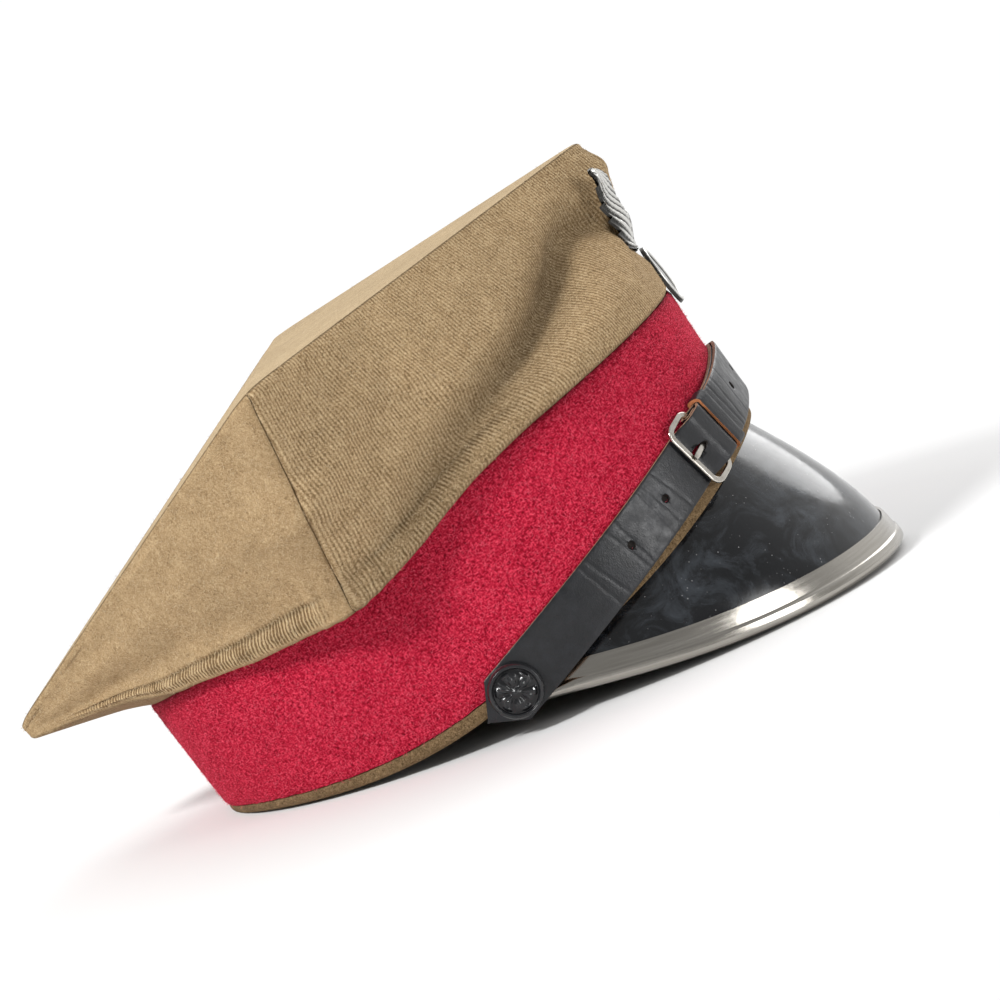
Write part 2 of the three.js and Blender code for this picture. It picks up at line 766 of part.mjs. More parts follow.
function leftStrap() {
  const tip = buttonPlace + strapTipBeyondButton;
  const boreRadius = wireRadius + clearance;
  const skived = (place) =>
    lerp(skivedThickness, strapThickness, ease(place, buckleBarPlace, keeperBack));
  const tail = evenSteps(foldedTail, 0, 2).map((ahead) => ({
    inside: { place: buckleBarPlace + ahead, out: foldLayer },
    outside: { place: buckleBarPlace + ahead, out: foldLayer + skivedThickness },
  }));
  const bend = evenSteps(90, 270, 6).slice(1).map((degrees) => {
    const onBend = (radius) => ({
      place: buckleBarPlace + radius * Math.cos(radians(degrees)),
      out: barLayer + radius * Math.sin(radians(degrees)),
    });
    return { inside: onBend(boreRadius), outside: onBend(boreRadius + skivedThickness) };
  });
  const places = [
    ...evenSteps(buckleBarPlace, keeperBack, 4).slice(1),
    ...evenSteps(keeperBack, tip - strapWidth / 2, 34).slice(1),
    tip,
  ];
  const run = places.map((place) => ({
    inside: { place, out: leftStrapLayer(place) + skived(place) },
    outside: { place, out: leftStrapLayer(place) },
  }));
  const face = (side) =>
    [...tail, ...bend, ...run].map((row) =>
      acrossShares.map((share) =>
        strapPoint(row[side].place, share * strapHalfWidth(row[side].place), row[side].out),
      ),
    );
  const slot = new THREE.Shape();
  const slotReach = boreRadius + skivedThickness + clearance;
  slot.moveTo(buckleBarPlace - slotReach, barLayer - slotReach);
  slot.lineTo(buckleBarPlace + slotReach, barLayer - slotReach);
  slot.lineTo(buckleBarPlace + slotReach, barLayer + slotReach);
  slot.lineTo(buckleBarPlace - slotReach, barLayer + slotReach);
  slot.closePath();
  return cut(sheetSolid(face("outside"), face("inside")), [
    alongStrap(slot, prongWidth + 2 * clearance),
  ]);
}

// The keeper, a flat leather loop round both straps
function strapKeeper() {
  const ring = (grow) => {
    const half = strapWidth / 2 + clearance + grow;
    const low = keeperLayer - clearance - grow;
    const high = upperLayer + strapThickness + clearance + grow;
    const outline = [
      { across: half, out: low },
      { across: half, out: high },
      { across: 0, out: high },
      { across: -half, out: high },
      { across: -half, out: low },
      { across: 0, out: low },
    ];
    return outline.map(({ across, out }) =>
      [keeperBack, keeperPlace, keeperFront].map((place) => strapPoint(place, across, out)),
    );
  };
  return sheetSolid(ring(keeperThickness), ring(0), true);
}

// The buckle's frame: a wire bent to a rounded rectangle. Its end bar lies over the right strap
// and its hinge bar in the left strap's fold.
function buckleFrame() {
  const halfLength = (buckleLength - buckleWire) / 2;
  const halfWidth = (buckleWidth - buckleWire) / 2;
  const corner = buckleCorner - wireRadius;
  const outline = new THREE.Path();
  const turnAt = (x, y, from) =>
    outline.absarc(x, y, corner, radians(from), radians(from - 90), true);
  turnAt(-halfLength + corner, halfWidth - corner, 180);
  turnAt(halfLength - corner, halfWidth - corner, 90);
  turnAt(halfLength - corner, -halfWidth + corner, 0);
  turnAt(-halfLength + corner, -halfWidth + corner, 270);
  outline.closePath();
  const middle = (buckleEndPlace + buckleBarPlace) / 2;
  const spineSteps = 36;
  const spine = outline.getSpacedPoints(spineSteps).slice(0, spineSteps);
  const corners = [];
  const ringAt = (i) => {
    const point = spine[i % spineSteps];
    const ahead = spine[(i + 1) % spineSteps];
    const behind = spine[(i + spineSteps - 1) % spineSteps];
    const heading = ahead.clone().sub(behind).normalize();
    const slope = (point.x + halfLength) / (2 * halfLength);
    const out = lerp(frameEndLayer, barLayer, slope);
    return evenSteps(0, 360, 6).map((degrees) => {
      const aside = wireRadius * Math.cos(radians(degrees));
      const rise = wireRadius * Math.sin(radians(degrees));
      return strapPoint(
        middle + point.x + heading.y * aside,
        point.y - heading.x * aside,
        out + rise,
      );
    });
  };
  for (let i = 0; i < spineSteps; i += 1) {
    const ring = ringAt(i);
    const next = ringAt(i + 1);
    for (let j = 0; j < ring.length - 1; j += 1) {
      corners.push(ring[j], next[j], next[j + 1], ring[j], next[j + 1], ring[j + 1]);
    }
  }
  return closedGeometry(corners);
}

// A button: radius is a share of its own, height a share of buttonHeight, petal of buttonRelief
const buttonProfile = [
  { radius: 0.0, height: 0.86, petal: 0.0 },
  { radius: 0.22, height: 0.85, petal: 0.4 },
  { radius: 0.42, height: 0.8, petal: 1.0 },
  { radius: 0.62, height: 0.74, petal: 0.7 },
  { radius: 0.76, height: 0.68, petal: 0.0 },
  { radius: 0.84, height: 0.84, petal: 0.0 },
  { radius: 0.93, height: 0.8, petal: 0.0 },
  { radius: 1.0, height: 0.45, petal: 0.0 },
  { radius: 0.97, height: 0.0, petal: 0.0 },
];
const buttonSteps = 24;

function button() {
  const angles = evenSteps(0, 2 * Math.PI, buttonSteps).slice(0, buttonSteps);
  const footReach = (buttonProfile.at(-1).radius * buttonDiameter) / 2;
  const face = (front) =>
    angles.map((angle) =>
      buttonProfile.map(({ radius, height, petal }) => {
        const reach = (radius * buttonDiameter) / 2;
        const raised = buttonRelief * petal * (0.5 + 0.5 * Math.cos(buttonPetals * angle));
        const rise = front ? buttonHeight * height + raised : 0;
        const base = front ? reach : Math.min(reach, footReach);
        return new THREE.Vector3(base * Math.cos(angle), base * Math.sin(angle), rise);
      }),
    );
  const { along, outward, upward } = strapFrame(-buttonPlace);
  const seat = strapPoint(-buttonPlace, 0, lowerLayer + strapThickness + clearance);
  const axes = new THREE.Matrix4().makeBasis(along, upward, outward).setPosition(seat);
  return sheetSolid(face(true), face(false), true).applyMatrix4(axes);
}

// The front seam's outer face at a height, which carries the badge
function seamFront(height) {
  const seam = crownSection(0, 0).slice(0, wallSteps + 1);
  const below = Math.max(1, seam.findIndex((point) => point.z < height));
  const share = (height - seam[below - 1].z) / (seam[below].z - seam[below - 1].z);
  return lerp(seam[below - 1].x, seam[below].x, share);
}

const wingRows = featherCount * 3;
const wingColumns = 3;
const wingFoot = bandHeight - plateOverlap + plateHeight + clearance;

function wing() {
  const value = (column, along) => tableValue(wingOutline, "along", column, along);
  const face = (front) =>
    evenSteps(0, 1, wingRows).map((along) => {
      const feather = (along * featherCount) % 1;
      return evenSteps(0, 1, wingColumns).map((across) => {
        const notch = featherNotch * across ** 3 * feather * (along < 1 ? 1 : 0);
        const aside = lerp(value("innerAcross", along), value("outerAcross", along), across);
        const up = lerp(value("innerUp", along), value("outerUp", along), across);
        const y = (aside * wingSpan) / 2 - notch;
        const z = wingFoot + up * wingRise;
        const swept = wingSweep * ((2 * y) / wingSpan) ** 2;
        const back = seamFront(z) + wingStandoff - swept;
        const ridge = wingRelief * Math.sin(Math.PI * feather) * Math.sin(Math.PI * across);
        return new THREE.Vector3(front ? back + wingThickness + ridge : back, y, z);
      });
    });
  return sheetSolid(face(true), face(false));
}

// The badge's plain boss, seated on the front seam
function badgeBoss() {
  const middle = wingFoot + bossHeight / 2;
  const rounds = evenSteps(0, 2 * Math.PI, 12).slice(0, 12);
  const face = (share) =>
    rounds.map((round) =>
      evenSteps(-1, 1, 8).map((up) => {
        const size = Math.sqrt(Math.max(0, 1 - up * up));
        const height = middle + (up * bossHeight) / 2;
        const depth = bossDepth * size * (0.5 + 0.5 * share * Math.cos(round));
        const aside = (bossWidth / 2) * size * share * Math.sin(round);
        return new THREE.Vector3(seamFront(height) + clearance + depth, aside, height);
      }),
    );
  const corners = [];
  const skin = face(1);
  skin.forEach((row, i) => {
    const next = skin[(i + 1) % skin.length];
    for (let j = 0; j < row.length - 1; j += 1) {
      corners.push(row[j], next[j], next[j + 1], row[j], next[j + 1], row[j + 1]);
    }
  });
  return closedGeometry(corners);
}

function badgeWings() {
  const left = wing();
  return join([badgeBoss(), left, mirrored(left)]);
}

// The oval plate, dished inside a raised rim. radius and height are shares of the half size and
// of the rim's height above the plate.
const plateProfile = [
  { radius: 0.0, height: 0.5 },
  { radius: 0.5, height: 0.4 },
  { radius: 0.74, height: 0.0 },
  { radius: 0.84, height: 1.0 },
  { radius: 0.94, height: 1.0 },
  { radius: 1.0, height: -0.6 },
];

function badgePlate() {
  const steps = 22;
  const angles = evenSteps(0, 2 * Math.PI, steps).slice(0, steps);
  const middle = bandHeight - plateOverlap + plateHeight / 2;
  const seat = Math.max(bandHalfLength + hemLip, seamFront(middle + plateHeight / 2));
  const back = seat + clearance;
  const face = (front) =>
    angles.map((angle) =>
      plateProfile.map(({ radius, height }) => {
        const y = (radius * plateWidth * Math.sin(angle)) / 2;
        const z = middle + (radius * plateHeight * Math.cos(angle)) / 2;
        return new THREE.Vector3(
          front ? back + plateThickness + height * plateRim : back,
          y,
          z,
        );
      }),
    );
  return sheetSolid(face(true), face(false), true);
}

// The cap stands on its rear rim, whose cloth is pressed flat, and on the lowest of the peak's
// rim: the pitch that brings both level
function restPitch(rear, frontPoints) {
  let pitch = 0;
  for (let i = 0; i < 8; i += 1) {
    const pressed = restFlat / Math.cos(pitch);
    pitch = Math.max(
      ...frontPoints.map((point) =>
        Math.atan2(rear.z + pressed - point.z, point.x - rear.x),
      ),
    );
  }
  return pitch;
}

function pointsOf(geometry) {
  const position = geometry.attributes.position;
  return Array.from({ length: position.count }, (_, i) =>
    new THREE.Vector3().fromBufferAttribute(position, i),
  );
}

const rimGeometry = peakRim();
const rearFoot = bandPoint(Math.PI, -baseFootInset, lowerEdge(Math.PI));
const pitch = restPitch(rearFoot, pointsOf(rimGeometry));
const floorLevel = rearFoot.x * Math.sin(pitch) + rearFoot.z * Math.cos(pitch) + restFlat;

function restedBase() {
  const size = 2 * bandLength;
  const below = new THREE.BoxGeometry(size, size, size);
  below.translate(0, 0, floorLevel - size / 2);
  below.rotateY(pitch);
  return cut(baseBand(), [below]);
}

// Colours and finishes of the pieces
const khaki = { color: 0x7c6748, roughness: 0.95, metalness: 0 };
const crimson = { color: 0xa31f38, roughness: 0.95, metalness: 0 };
const lacquer = { color: 0x0c0d10, roughness: 0.15, metalness: 0 };
const leather = { color: 0x24272c, roughness: 0.45, metalness: 0 };
const nickel = { color: 0xb4ada2, roughness: 0.3, metalness: 1 };
const silver = { color: 0xa3a29c, roughness: 0.4, metalness: 1 };
const blackened = { color: 0x17181a, roughness: 0.4, metalness: 0.6 };

const frontWall = crownFrontLeft();
const backWall = crownBackLeft();
const rightButton = button();
const pieces = [
  ["crown_top", crownTop(), khaki],
  ["crown_front_left", frontWall, khaki],
  ["crown_front_right", mirrored(frontWall), khaki],
  ["crown_back_left", backWall, khaki],
  ["crown_back_right", mirrored(backWall), khaki],
  ["red_band", redBand(), crimson],
  ["base_band", restedBase(), khaki],
  ["peak", peak(), lacquer],
  ["peak_rim", rimGeometry, nickel],
  ["strap_right", rightStrap(), leather],
  ["strap_left", leftStrap(), leather],
  ["strap_keeper", strapKeeper(), leather],
  ["buckle_frame", buckleFrame(), nickel],
  ["buckle_prong", buckleProng(), nickel],
  ["button_right", rightButton, blackened],
  ["button_left", mirrored(rightButton), blackened],
  ["badge_wings", badgeWings(), silver],
  ["badge_plate", badgePlate(), silver],
];

const worn = new THREE.Group();
for (const [name, geometry, finish] of pieces) {
  const mesh = new THREE.Mesh(geometry, new THREE.MeshStandardMaterial(finish));
  mesh.name = name;
  worn.add(mesh);
}
worn.rotation.y = -pitch;

const cap = new THREE.Group();
cap.add(worn);
const bounds = new THREE.Box3().setFromObject(cap, true);
const middle = bounds.getCenter(new THREE.Vector3());
worn.position.set(-middle.x, -middle.y, -bounds.min.z);

export default cap;
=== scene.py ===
import math
import random

import bmesh
import bpy
import numpy as np
from mathutils import Matrix, Vector, noise


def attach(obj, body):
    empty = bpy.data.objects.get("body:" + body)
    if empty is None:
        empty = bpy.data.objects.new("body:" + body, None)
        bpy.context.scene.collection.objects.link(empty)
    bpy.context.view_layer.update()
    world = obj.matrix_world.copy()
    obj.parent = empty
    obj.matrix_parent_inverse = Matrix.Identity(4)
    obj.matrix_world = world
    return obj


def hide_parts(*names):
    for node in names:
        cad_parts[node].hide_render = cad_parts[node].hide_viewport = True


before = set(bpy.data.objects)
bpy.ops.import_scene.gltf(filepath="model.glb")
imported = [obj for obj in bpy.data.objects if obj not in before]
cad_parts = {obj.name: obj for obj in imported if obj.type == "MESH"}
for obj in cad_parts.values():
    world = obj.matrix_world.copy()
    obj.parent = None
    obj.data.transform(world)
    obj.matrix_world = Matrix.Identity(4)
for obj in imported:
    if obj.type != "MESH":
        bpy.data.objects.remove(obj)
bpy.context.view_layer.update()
random.seed(7)

# The cap is drawn in millimetres as it is worn (band level), then tipped back by PITCH to the rest
# that the CAD has, and scaled to metres. +X is forward, +Y the wearer's left, +Z up.
PITCH = math.radians(16.869)
SHIFT_X, SHIFT_Z = 12.865, 30.395
METRES = 0.001


def rested(points):
    points = np.asarray(points, float)
    x, y, z = points[..., 0], points[..., 1], points[..., 2]
    ahead = x * math.cos(PITCH) - z * math.sin(PITCH) + SHIFT_X
    up = x * math.sin(PITCH) + z * math.cos(PITCH) + SHIFT_Z
    return np.stack([ahead, y, up], -1) * METRES


# Sizes of the cap, the same as the CAD's; only the crown's folds are deeper and narrower
CLEARANCE = 0.3
CLOTH = 2.0
HALF_LENGTH, HALF_WIDTH, BAND_HEIGHT = 213.4 / 2, 172.0 / 2, 44.0
FELT, BASE, FOOT_INSET, BACK_BELLY, FRONT_TAPER = 2.0, 2.0, 0.4, 1.2, 2.4
SIDE_DIP, FRONT_DIP = 17.0, 3.0
DIP_ANGLE_FRONT, DIP_ANGLE_BACK = math.radians(85), math.radians(100)
DIP_POWER_FRONT, DIP_POWER_BACK = 2.0, 2.9
TRIM_BACK, TRIM_SIDE = 2.6, 4.8
FRONT_REACH, FRONT_RISE = 7.2, 55.2
BACK_REACH, BACK_RISE = 38.6, 19.6
SIDE_REACH, SIDE_RISE, SIDE_BACK = 43.5, 63.3, 10.0
CORNER_RADII = (9.0, 5.0, 4.0, 5.0)
SIDE_SEAM = math.radians(103.5)
HEM_LIP, ROLL_RADIUS = 0.6, 2.3
KNEE_OVERHANG, KNEE_SAG, BACK_LIFT = 15.0, 10.0, 13.0
FOLD_DEPTH, FOLD_WIDTH = 9.0, 0.135
LEAST_ROLL = math.radians(12)
PEAK_THICKNESS, PEAK_DEPTH, PEAK_TAPER, PEAK_FLARE = 2.0, 61.2, 1.15, 17.0
PEAK_HALF, PEAK_TUCK, PEAK_END = math.radians(92), 5.0, 0.08
RIM_THICKNESS, RIM_WIDTH, RIM_RETURN = 0.8, 9.4, 5.0
STRAP_WIDTH, STRAP_THICKNESS, SKIVED = 18.2, 1.3, 0.9
STRAP_HEIGHT, STRAP_DROP, STRAP_CURVE = 13.1, 28.1, 1.35
TIP_BEYOND, FREE_END, TIP_WIDTH = 13.2, 60.0, 0.6
FOLDED_TAIL, HOLE_DIAMETER, HOLE_SPACING, PRONG_AHEAD = 3.0, 2.8, 19.0, 2.4
WIRE, BUCKLE_LENGTH, BUCKLE_WIDTH, BUCKLE_CORNER, BUCKLE_END = 1.8, 12.8, 24.3, 4.0, -66.4
PRONG_WIDTH, PRONG_THICKNESS, TONGUE_LEAVES = 2.0, 1.0, math.radians(162)
KEEPER_WIDTH, KEEPER_THICKNESS, KEEPER_PLACE = 5.0, 1.1, -47.2
MEETING_AFTER, MEETING_LENGTH = 4.0, 26.0
BUTTON_DIAMETER, BUTTON_HEIGHT, BUTTON_RELIEF, BUTTON_PETALS = 17.4, 3.6, 0.5, 6
BUTTON_ANGLE = 93.0
WING_THICKNESS, WING_RELIEF, WING_RISE, WING_SPAN = 1.0, 0.6, 31.0, 42.0
WING_SWEEP, WING_STANDOFF, FEATHER_NOTCH, FEATHERS = 7.5, 0.4, 1.4, 8
BOSS_HEIGHT, BOSS_WIDTH, BOSS_DEPTH = 14.0, 7.0, 2.0
PLATE_HEIGHT, PLATE_WIDTH, PLATE_THICKNESS, PLATE_RIM, PLATE_OVERLAP = 22.0, 16.0, 0.9, 0.4, 6.0

BASE_OUTER = -FELT - CLEARANCE
BASE_INNER = BASE_OUTER - BASE

# turn counts the top's corners from the front (0) by the side (1) to the back (2)
FOLDS = {
    "turn": [0.0, 0.18, 0.36, 0.52, 0.78, 1.0, 1.3, 1.7, 2.0],
    "valley_at": [0.7, 0.36, 0.58, 0.74, 0.88, 0.9, 0.8, 0.75, 0.75],
    "valley_in": [0.4, 0.7, 1.0, 0.95, 0.6, 0.0, 0.2, 0.2, 0.0],
    "swell_at": [0.16, 0.78, 0.86, 0.95, 0.3, 0.55, 0.4, 0.4, 0.4],
    "swell_out": [0.5, 0.3, 0.45, 0.3, 0.15, 0.25, 0.1, 0.1, 0.0],
}
KNEES = {
    "turn": [0.0, 0.3, 0.6, 0.76, 0.87, 1.0, 1.13, 1.3, 1.5, 1.75, 1.9, 2.0],
    "side_out": [0.0, 0.08, 0.18, 0.32, 0.56, 1.0, 0.62, 0.3, 0.1, 0.0, 0.0, 0.0],
    "back_out": [0.0, 0.0, 0.0, 0.0, 0.0, 0.0, 0.0, 0.02, 0.07, 0.22, 0.56, 0.97],
    "sag": [0.0, 0.0, 0.0, 0.22, 0.68, 1.0, 0.77, 0.46, 0.05, 0.0, 0.0, 0.0],
    "lift": [0.0, 0.0, 0.0, 0.0, 0.0, 0.0, 0.0, 0.0, 0.0, 0.42, 0.74, 1.0],
}
WING = {
    "along": [0.0, 0.2, 0.4, 0.6, 0.8, 1.0],
    "inner_across": [0.06, 0.12, 0.22, 0.4, 0.64, 0.93],
    "inner_up": [0.04, 0.2, 0.42, 0.64, 0.83, 0.99],
    "outer_across": [0.32, 0.62, 0.86, 0.98, 1.0, 1.0],
    "outer_up": [0.0, 0.1, 0.3, 0.52, 0.74, 0.96],
}


def table_value(table, place, column, at):
    """A smooth value of one column at places given in another."""
    keys, values = np.array(table[place]), np.array(table[column])
    at = np.asarray(at, float)
    steps = np.diff(values)
    slopes = np.zeros(len(keys))
    inner = steps[:-1] * steps[1:] > 0
    slopes[1:-1][inner] = ((steps[:-1] + steps[1:]) / (keys[2:] - keys[:-2]))[inner]
    k = np.clip(np.searchsorted(keys, at, side="right") - 1, 0, len(keys) - 2)
    span = keys[k + 1] - keys[k]
    share = np.clip((at - keys[k]) / span, 0, 1)
    cubed, squared = share**3, share**2
    return (
        (2 * cubed - 3 * squared + 1) * values[k]
        + (cubed - 2 * squared + share) * span * slopes[k]
        + (3 * squared - 2 * cubed) * values[k + 1]
        + (cubed - squared) * span * slopes[k + 1]
    )


def smooth(at, low, high):
    share = np.clip((np.asarray(at, float) - low) / (high - low), 0, 1)
    return share * share * (3 - 2 * share)


def mixed(a, b, share):
    return a + (b - a) * share


def hump(at, middle, width):
    return np.exp(-(((np.asarray(at, float) - middle) / width) ** 2))


def rough(points, scale, seed=0.0):
    """Smooth noise from -1 to 1 at each point, its features about 1 / scale millimetres across."""
    flat = np.asarray(points, float).reshape(-1, 3) * scale
    values = [noise.noise(Vector((x + seed, y - seed, z + 2 * seed))) for x, y, z in flat]
    return np.array(values).reshape(np.shape(points)[:-1])


# Band


def band_outward(angle):
    out = np.stack([np.cos(angle) / HALF_LENGTH, np.sin(angle) / HALF_WIDTH], -1)
    return out / np.linalg.norm(out, axis=-1, keepdims=True)


def band_point(angle, out, height):
    angle, out, height = np.broadcast_arrays(*(np.asarray(v, float) for v in (angle, out, height)))
    below = np.clip((BAND_HEIGHT - height) / BAND_HEIGHT, 0, 1)
    belly = BACK_BELLY * np.maximum(0, -np.cos(angle)) ** 2
    taper = FRONT_TAPER * np.maximum(0, np.cos(angle)) ** 2
    reach = out + (belly - taper) * np.sin(below * math.pi / 2)
    aside = band_outward(angle)
    x = HALF_LENGTH * np.cos(angle) + reach * aside[..., 0]
    y = HALF_WIDTH * np.sin(angle) + reach * aside[..., 1]
    return np.stack([x, y, height], -1)


def dip_share(angle):
    around = np.abs(angle)
    from_back = (math.pi - around) / (math.pi - DIP_ANGLE_BACK)
    return np.minimum(np.minimum(around / DIP_ANGLE_FRONT, from_back), 1)


def lower_edge(angle):
    ahead = np.abs(angle) < DIP_ANGLE_BACK
    power = np.where(ahead, DIP_POWER_FRONT, DIP_POWER_BACK)
    depth = np.sin(np.clip(dip_share(angle), 0, 1) * math.pi / 2) ** power
    return -mixed(np.where(ahead, FRONT_DIP, 0.0), SIDE_DIP, depth)


def trim_height(angle):
    behind = np.abs(angle) > DIP_ANGLE_BACK
    return mixed(TRIM_BACK, TRIM_SIDE, np.where(behind, dip_share(angle), 1.0))


# Crown

CORNER_POINTS = np.array(
    [
        (HALF_LENGTH + FRONT_REACH, 0, BAND_HEIGHT + FRONT_RISE),
        (-SIDE_BACK, HALF_WIDTH + SIDE_REACH, BAND_HEIGHT + SIDE_RISE),
        (-HALF_LENGTH - BACK_REACH, 0, BAND_HEIGHT + BACK_RISE),
        (-SIDE_BACK, -HALF_WIDTH - SIDE_REACH, BAND_HEIGHT + SIDE_RISE),
    ]
)
CORNER_OUTWARD = np.array([(1, 0, 0), (0, 1, 0), (-1, 0, 0), (0, -1, 0)], float)
SHARP = CORNER_POINTS + CORNER_OUTWARD * (math.sqrt(2) / 4 * np.array(CORNER_RADII))[:, None]


def corner_share(k, neighbour):
    gap = np.linalg.norm(SHARP[k % 4] - SHARP[neighbour % 4])
    return CORNER_RADII[k % 4] / gap


def top_outline(turn):
    turn = turn % 4
    k = int(math.floor(turn))
    along = turn - k
    start, end = corner_share(k, k + 1), corner_share(k + 1, k)

    def rounded(corner, share):
        here = SHARP[corner % 4]
        enter = mixed(here, SHARP[(corner - 1) % 4], corner_share(corner, corner - 1))
        leave = mixed(here, SHARP[(corner + 1) % 4], corner_share(corner, corner + 1))
        return (1 - share) ** 2 * enter + 2 * share * (1 - share) * here + share**2 * leave

    if along < start:
        return rounded(k, 0.5 + 0.5 * along / start)
    if along > 1 - end:
        return rounded(k + 1, 0.5 - 0.5 * (1 - along) / end)
    return mixed(SHARP[k % 4], SHARP[(k + 1) % 4], along)


def top_outward(turn):
    along = top_outline(turn + 0.004) - top_outline(turn - 0.004)
    out = np.array([along[1], -along[0], 0.0])
    return out / np.linalg.norm(out)


def quarter_turns(k, corner_steps, straight_steps):
    start, end = corner_share(k, k + 1), corner_share(k + 1, k)
    shares = np.concatenate(
        [
            np.linspace(0, start, corner_steps)[:-1],
            np.linspace(start, 1 - end, straight_steps)[:-1],
            np.linspace(1 - end, 1, corner_steps),
        ]
    )
    return k + shares


def band_angle(turn):
    return SIDE_SEAM * turn if turn <= 1 else mixed(SIDE_SEAM, math.pi, turn - 1)


def wall_push(turn, down):
    value = {key: float(table_value(FOLDS, "turn", key, turn)) for key in FOLDS if key != "turn"}
    ends = np.sqrt(np.sin(math.pi * np.clip(down, 0, 1)))
    swell = value["swell_out"] * hump(down, value["swell_at"], FOLD_WIDTH)
    valley = value["valley_in"] * hump(down, value["valley_at"], FOLD_WIDTH)
    return FOLD_DEPTH * ends * (swell - valley)


def crown_section(turn, inset, wall_steps, roll_steps):
    """From the top edge down the wall, round the knee and in over the band."""
    angle = band_angle(turn)
    outward = np.append(band_outward(np.array(angle)), 0.0)
    knee = {key: float(table_value(KNEES, "turn", key, turn)) for key in KNEES if key != "turn"}
    out = HEM_LIP + KNEE_OVERHANG * knee["side_out"] + BACK_REACH * knee["back_out"]
    height = BAND_HEIGHT + CLEARANCE - KNEE_SAG * knee["sag"] + BACK_LIFT * knee["lift"]
    radius = ROLL_RADIUS - inset
    centre_out, centre_height = out - ROLL_RADIUS, height + ROLL_RADIUS

    edge = top_outline(turn) - top_outward(turn) * inset
    edge[2] -= CLOTH + CLEARANCE
    foot = band_point(angle, centre_out + radius, centre_height)
    facing = top_outward(turn) + outward
    facing /= np.linalg.norm(facing)
    down = np.linspace(0, 1, wall_steps + 1)
    wall = edge + (foot - edge) * down[:, None] + facing * wall_push(turn, down)[:, None]

    hem_height = BAND_HEIGHT + CLEARANCE
    hem_out = min(HEM_LIP, centre_out)
    to_hem = np.array([hem_out - centre_out, hem_height - centre_height])
    leaving = math.acos(min(1, ROLL_RADIUS / np.linalg.norm(to_hem)))
    hem_angle = math.atan2(to_hem[1], to_hem[0])
    rolled = (hem_angle - 2 * math.pi if hem_angle > 0 else hem_angle) + leaving
    end = min(rolled, -LEAST_ROLL)
    turned = np.linspace(0, end, roll_steps + 1)[1:]
    roll = band_point(
        angle, centre_out + radius * np.cos(turned), centre_height + radius * np.sin(turned)
    )
    mitre = -inset * (1 + math.sin(end)) / math.cos(end)
    under = np.linspace(roll[-1], band_point(angle, hem_out + mitre, hem_height + inset), 7)[1:]
    seat = band_point(angle, BASE_INNER, hem_height + inset)
    return np.concatenate([wall, roll, under, seat[None]])


# Meshes


def grid_normals(points):
    down = np.gradient(points, axis=1)
    along = np.gradient(points, axis=0)
    normal = np.cross(along, down)
    size = np.linalg.norm(normal, axis=-1, keepdims=True)
    return normal / np.maximum(size, 1e-9)


def lengths(points, axis):
    """Distance covered along one axis of a grid of points."""
    steps = np.linalg.norm(np.diff(points, axis=axis), axis=-1)
    zero = np.zeros_like(np.take(steps, [0], axis=axis))
    return np.cumsum(np.concatenate([zero, steps], axis=axis), axis=axis)


def grid_faces(rows, columns, round_rows, round_columns):
    """Quads between a grid's points, closed on itself along its rows, its columns or both."""
    return [
        [i * columns + j, (i + 1) % rows * columns + j,
         (i + 1) % rows * columns + (j + 1) % columns, i * columns + (j + 1) % columns]
        for i in range(rows if round_rows else rows - 1)
        for j in range(columns if round_columns else columns - 1)
    ]


def make_object(name, vertices, faces, face_uvs, face_slots, materials, marks=None, sharp=40):
    mesh =bpy.data.meshes.new(name)
    mesh.from_pydata([tuple(v) for v in vertices], [], faces)
    for material in materials:
        mesh.materials.append(material)
    mesh.polygons.foreach_set("material_index", face_slots)
    if face_uvs is not None:
        layer = mesh.uv_layers.new(name="cloth")
        flat = [c for uvs in face_uvs for uv in uvs for c in uv]
        layer.data.foreach_set("uv", flat)
    for key, values in (marks or {}).items():
        attribute = mesh.attributes.new(key, "FLOAT", "POINT")
        attribute.data.foreach_set("value", np.asarray(values, np.float32).ravel())
    edit = bmesh.new()
    edit.from_mesh(mesh)
    bmesh.ops.remove_doubles(edit, verts=edit.verts, dist=1e-7)
    bmesh.ops.dissolve_degenerate(edit, edges=edit.edges, dist=1e-8)
    bmesh.ops.recalc_face_normals(edit, faces=edit.faces)
    edit.to_mesh(mesh)
    edit.free()
    mesh.shade_smooth()
    mesh.set_sharp_from_angle(angle=math.radians(sharp))
    piece = bpy.data.objects.new(name, mesh)
    bpy.context.collection.objects.link(piece)
    return piece


def shell(name, outer, inner, uv, materials, wrap=False, marks=None, edge_slot=0, inner_slot=0,
          sharp=40):
    """A closed shell between two grids of points in millimetres. uv has one more row with wrap."""
    rows, columns = outer.shape[:2]
    vertices = rested(np.concatenate([outer.reshape(-1, 3), inner.reshape(-1, 3)]))
    half = rows * columns
    faces, uvs, slots = [], [], []

    def add(corners, slot):
        faces.append([side * half + (i % rows) * columns + j for side, i, j in corners])
        uvs.append([tuple(uv[i, j]) for side, i, j in corners])
        slots.append(slot)

    last = columns - 1
    for i in range(rows if wrap else rows - 1):
        for j in range(last):
            add([(0, i, j), (0, i + 1, j), (0, i + 1, j + 1), (0, i, j + 1)], 0)
            add([(1, i, j), (1, i, j + 1), (1, i + 1, j + 1), (1, i + 1, j)], inner_slot)
        add([(0, i, 0), (1, i, 0), (1, i + 1, 0), (0, i + 1, 0)], edge_slot)
        add([(0, i, last), (0, i + 1, last), (1, i + 1, last), (1, i, last)], edge_slot)
    if not wrap:
        for i in (0, rows - 1):
            for j in range(last):
                add([(0, i, j), (0, i, j + 1), (1, i, j + 1), (1, i, j)], edge_slot)
    both = {key: np.concatenate([values.ravel()] * 2) for key, values in (marks or {}).items()}
    return make_object(name, vertices, faces, uvs, slots, materials, both, sharp)


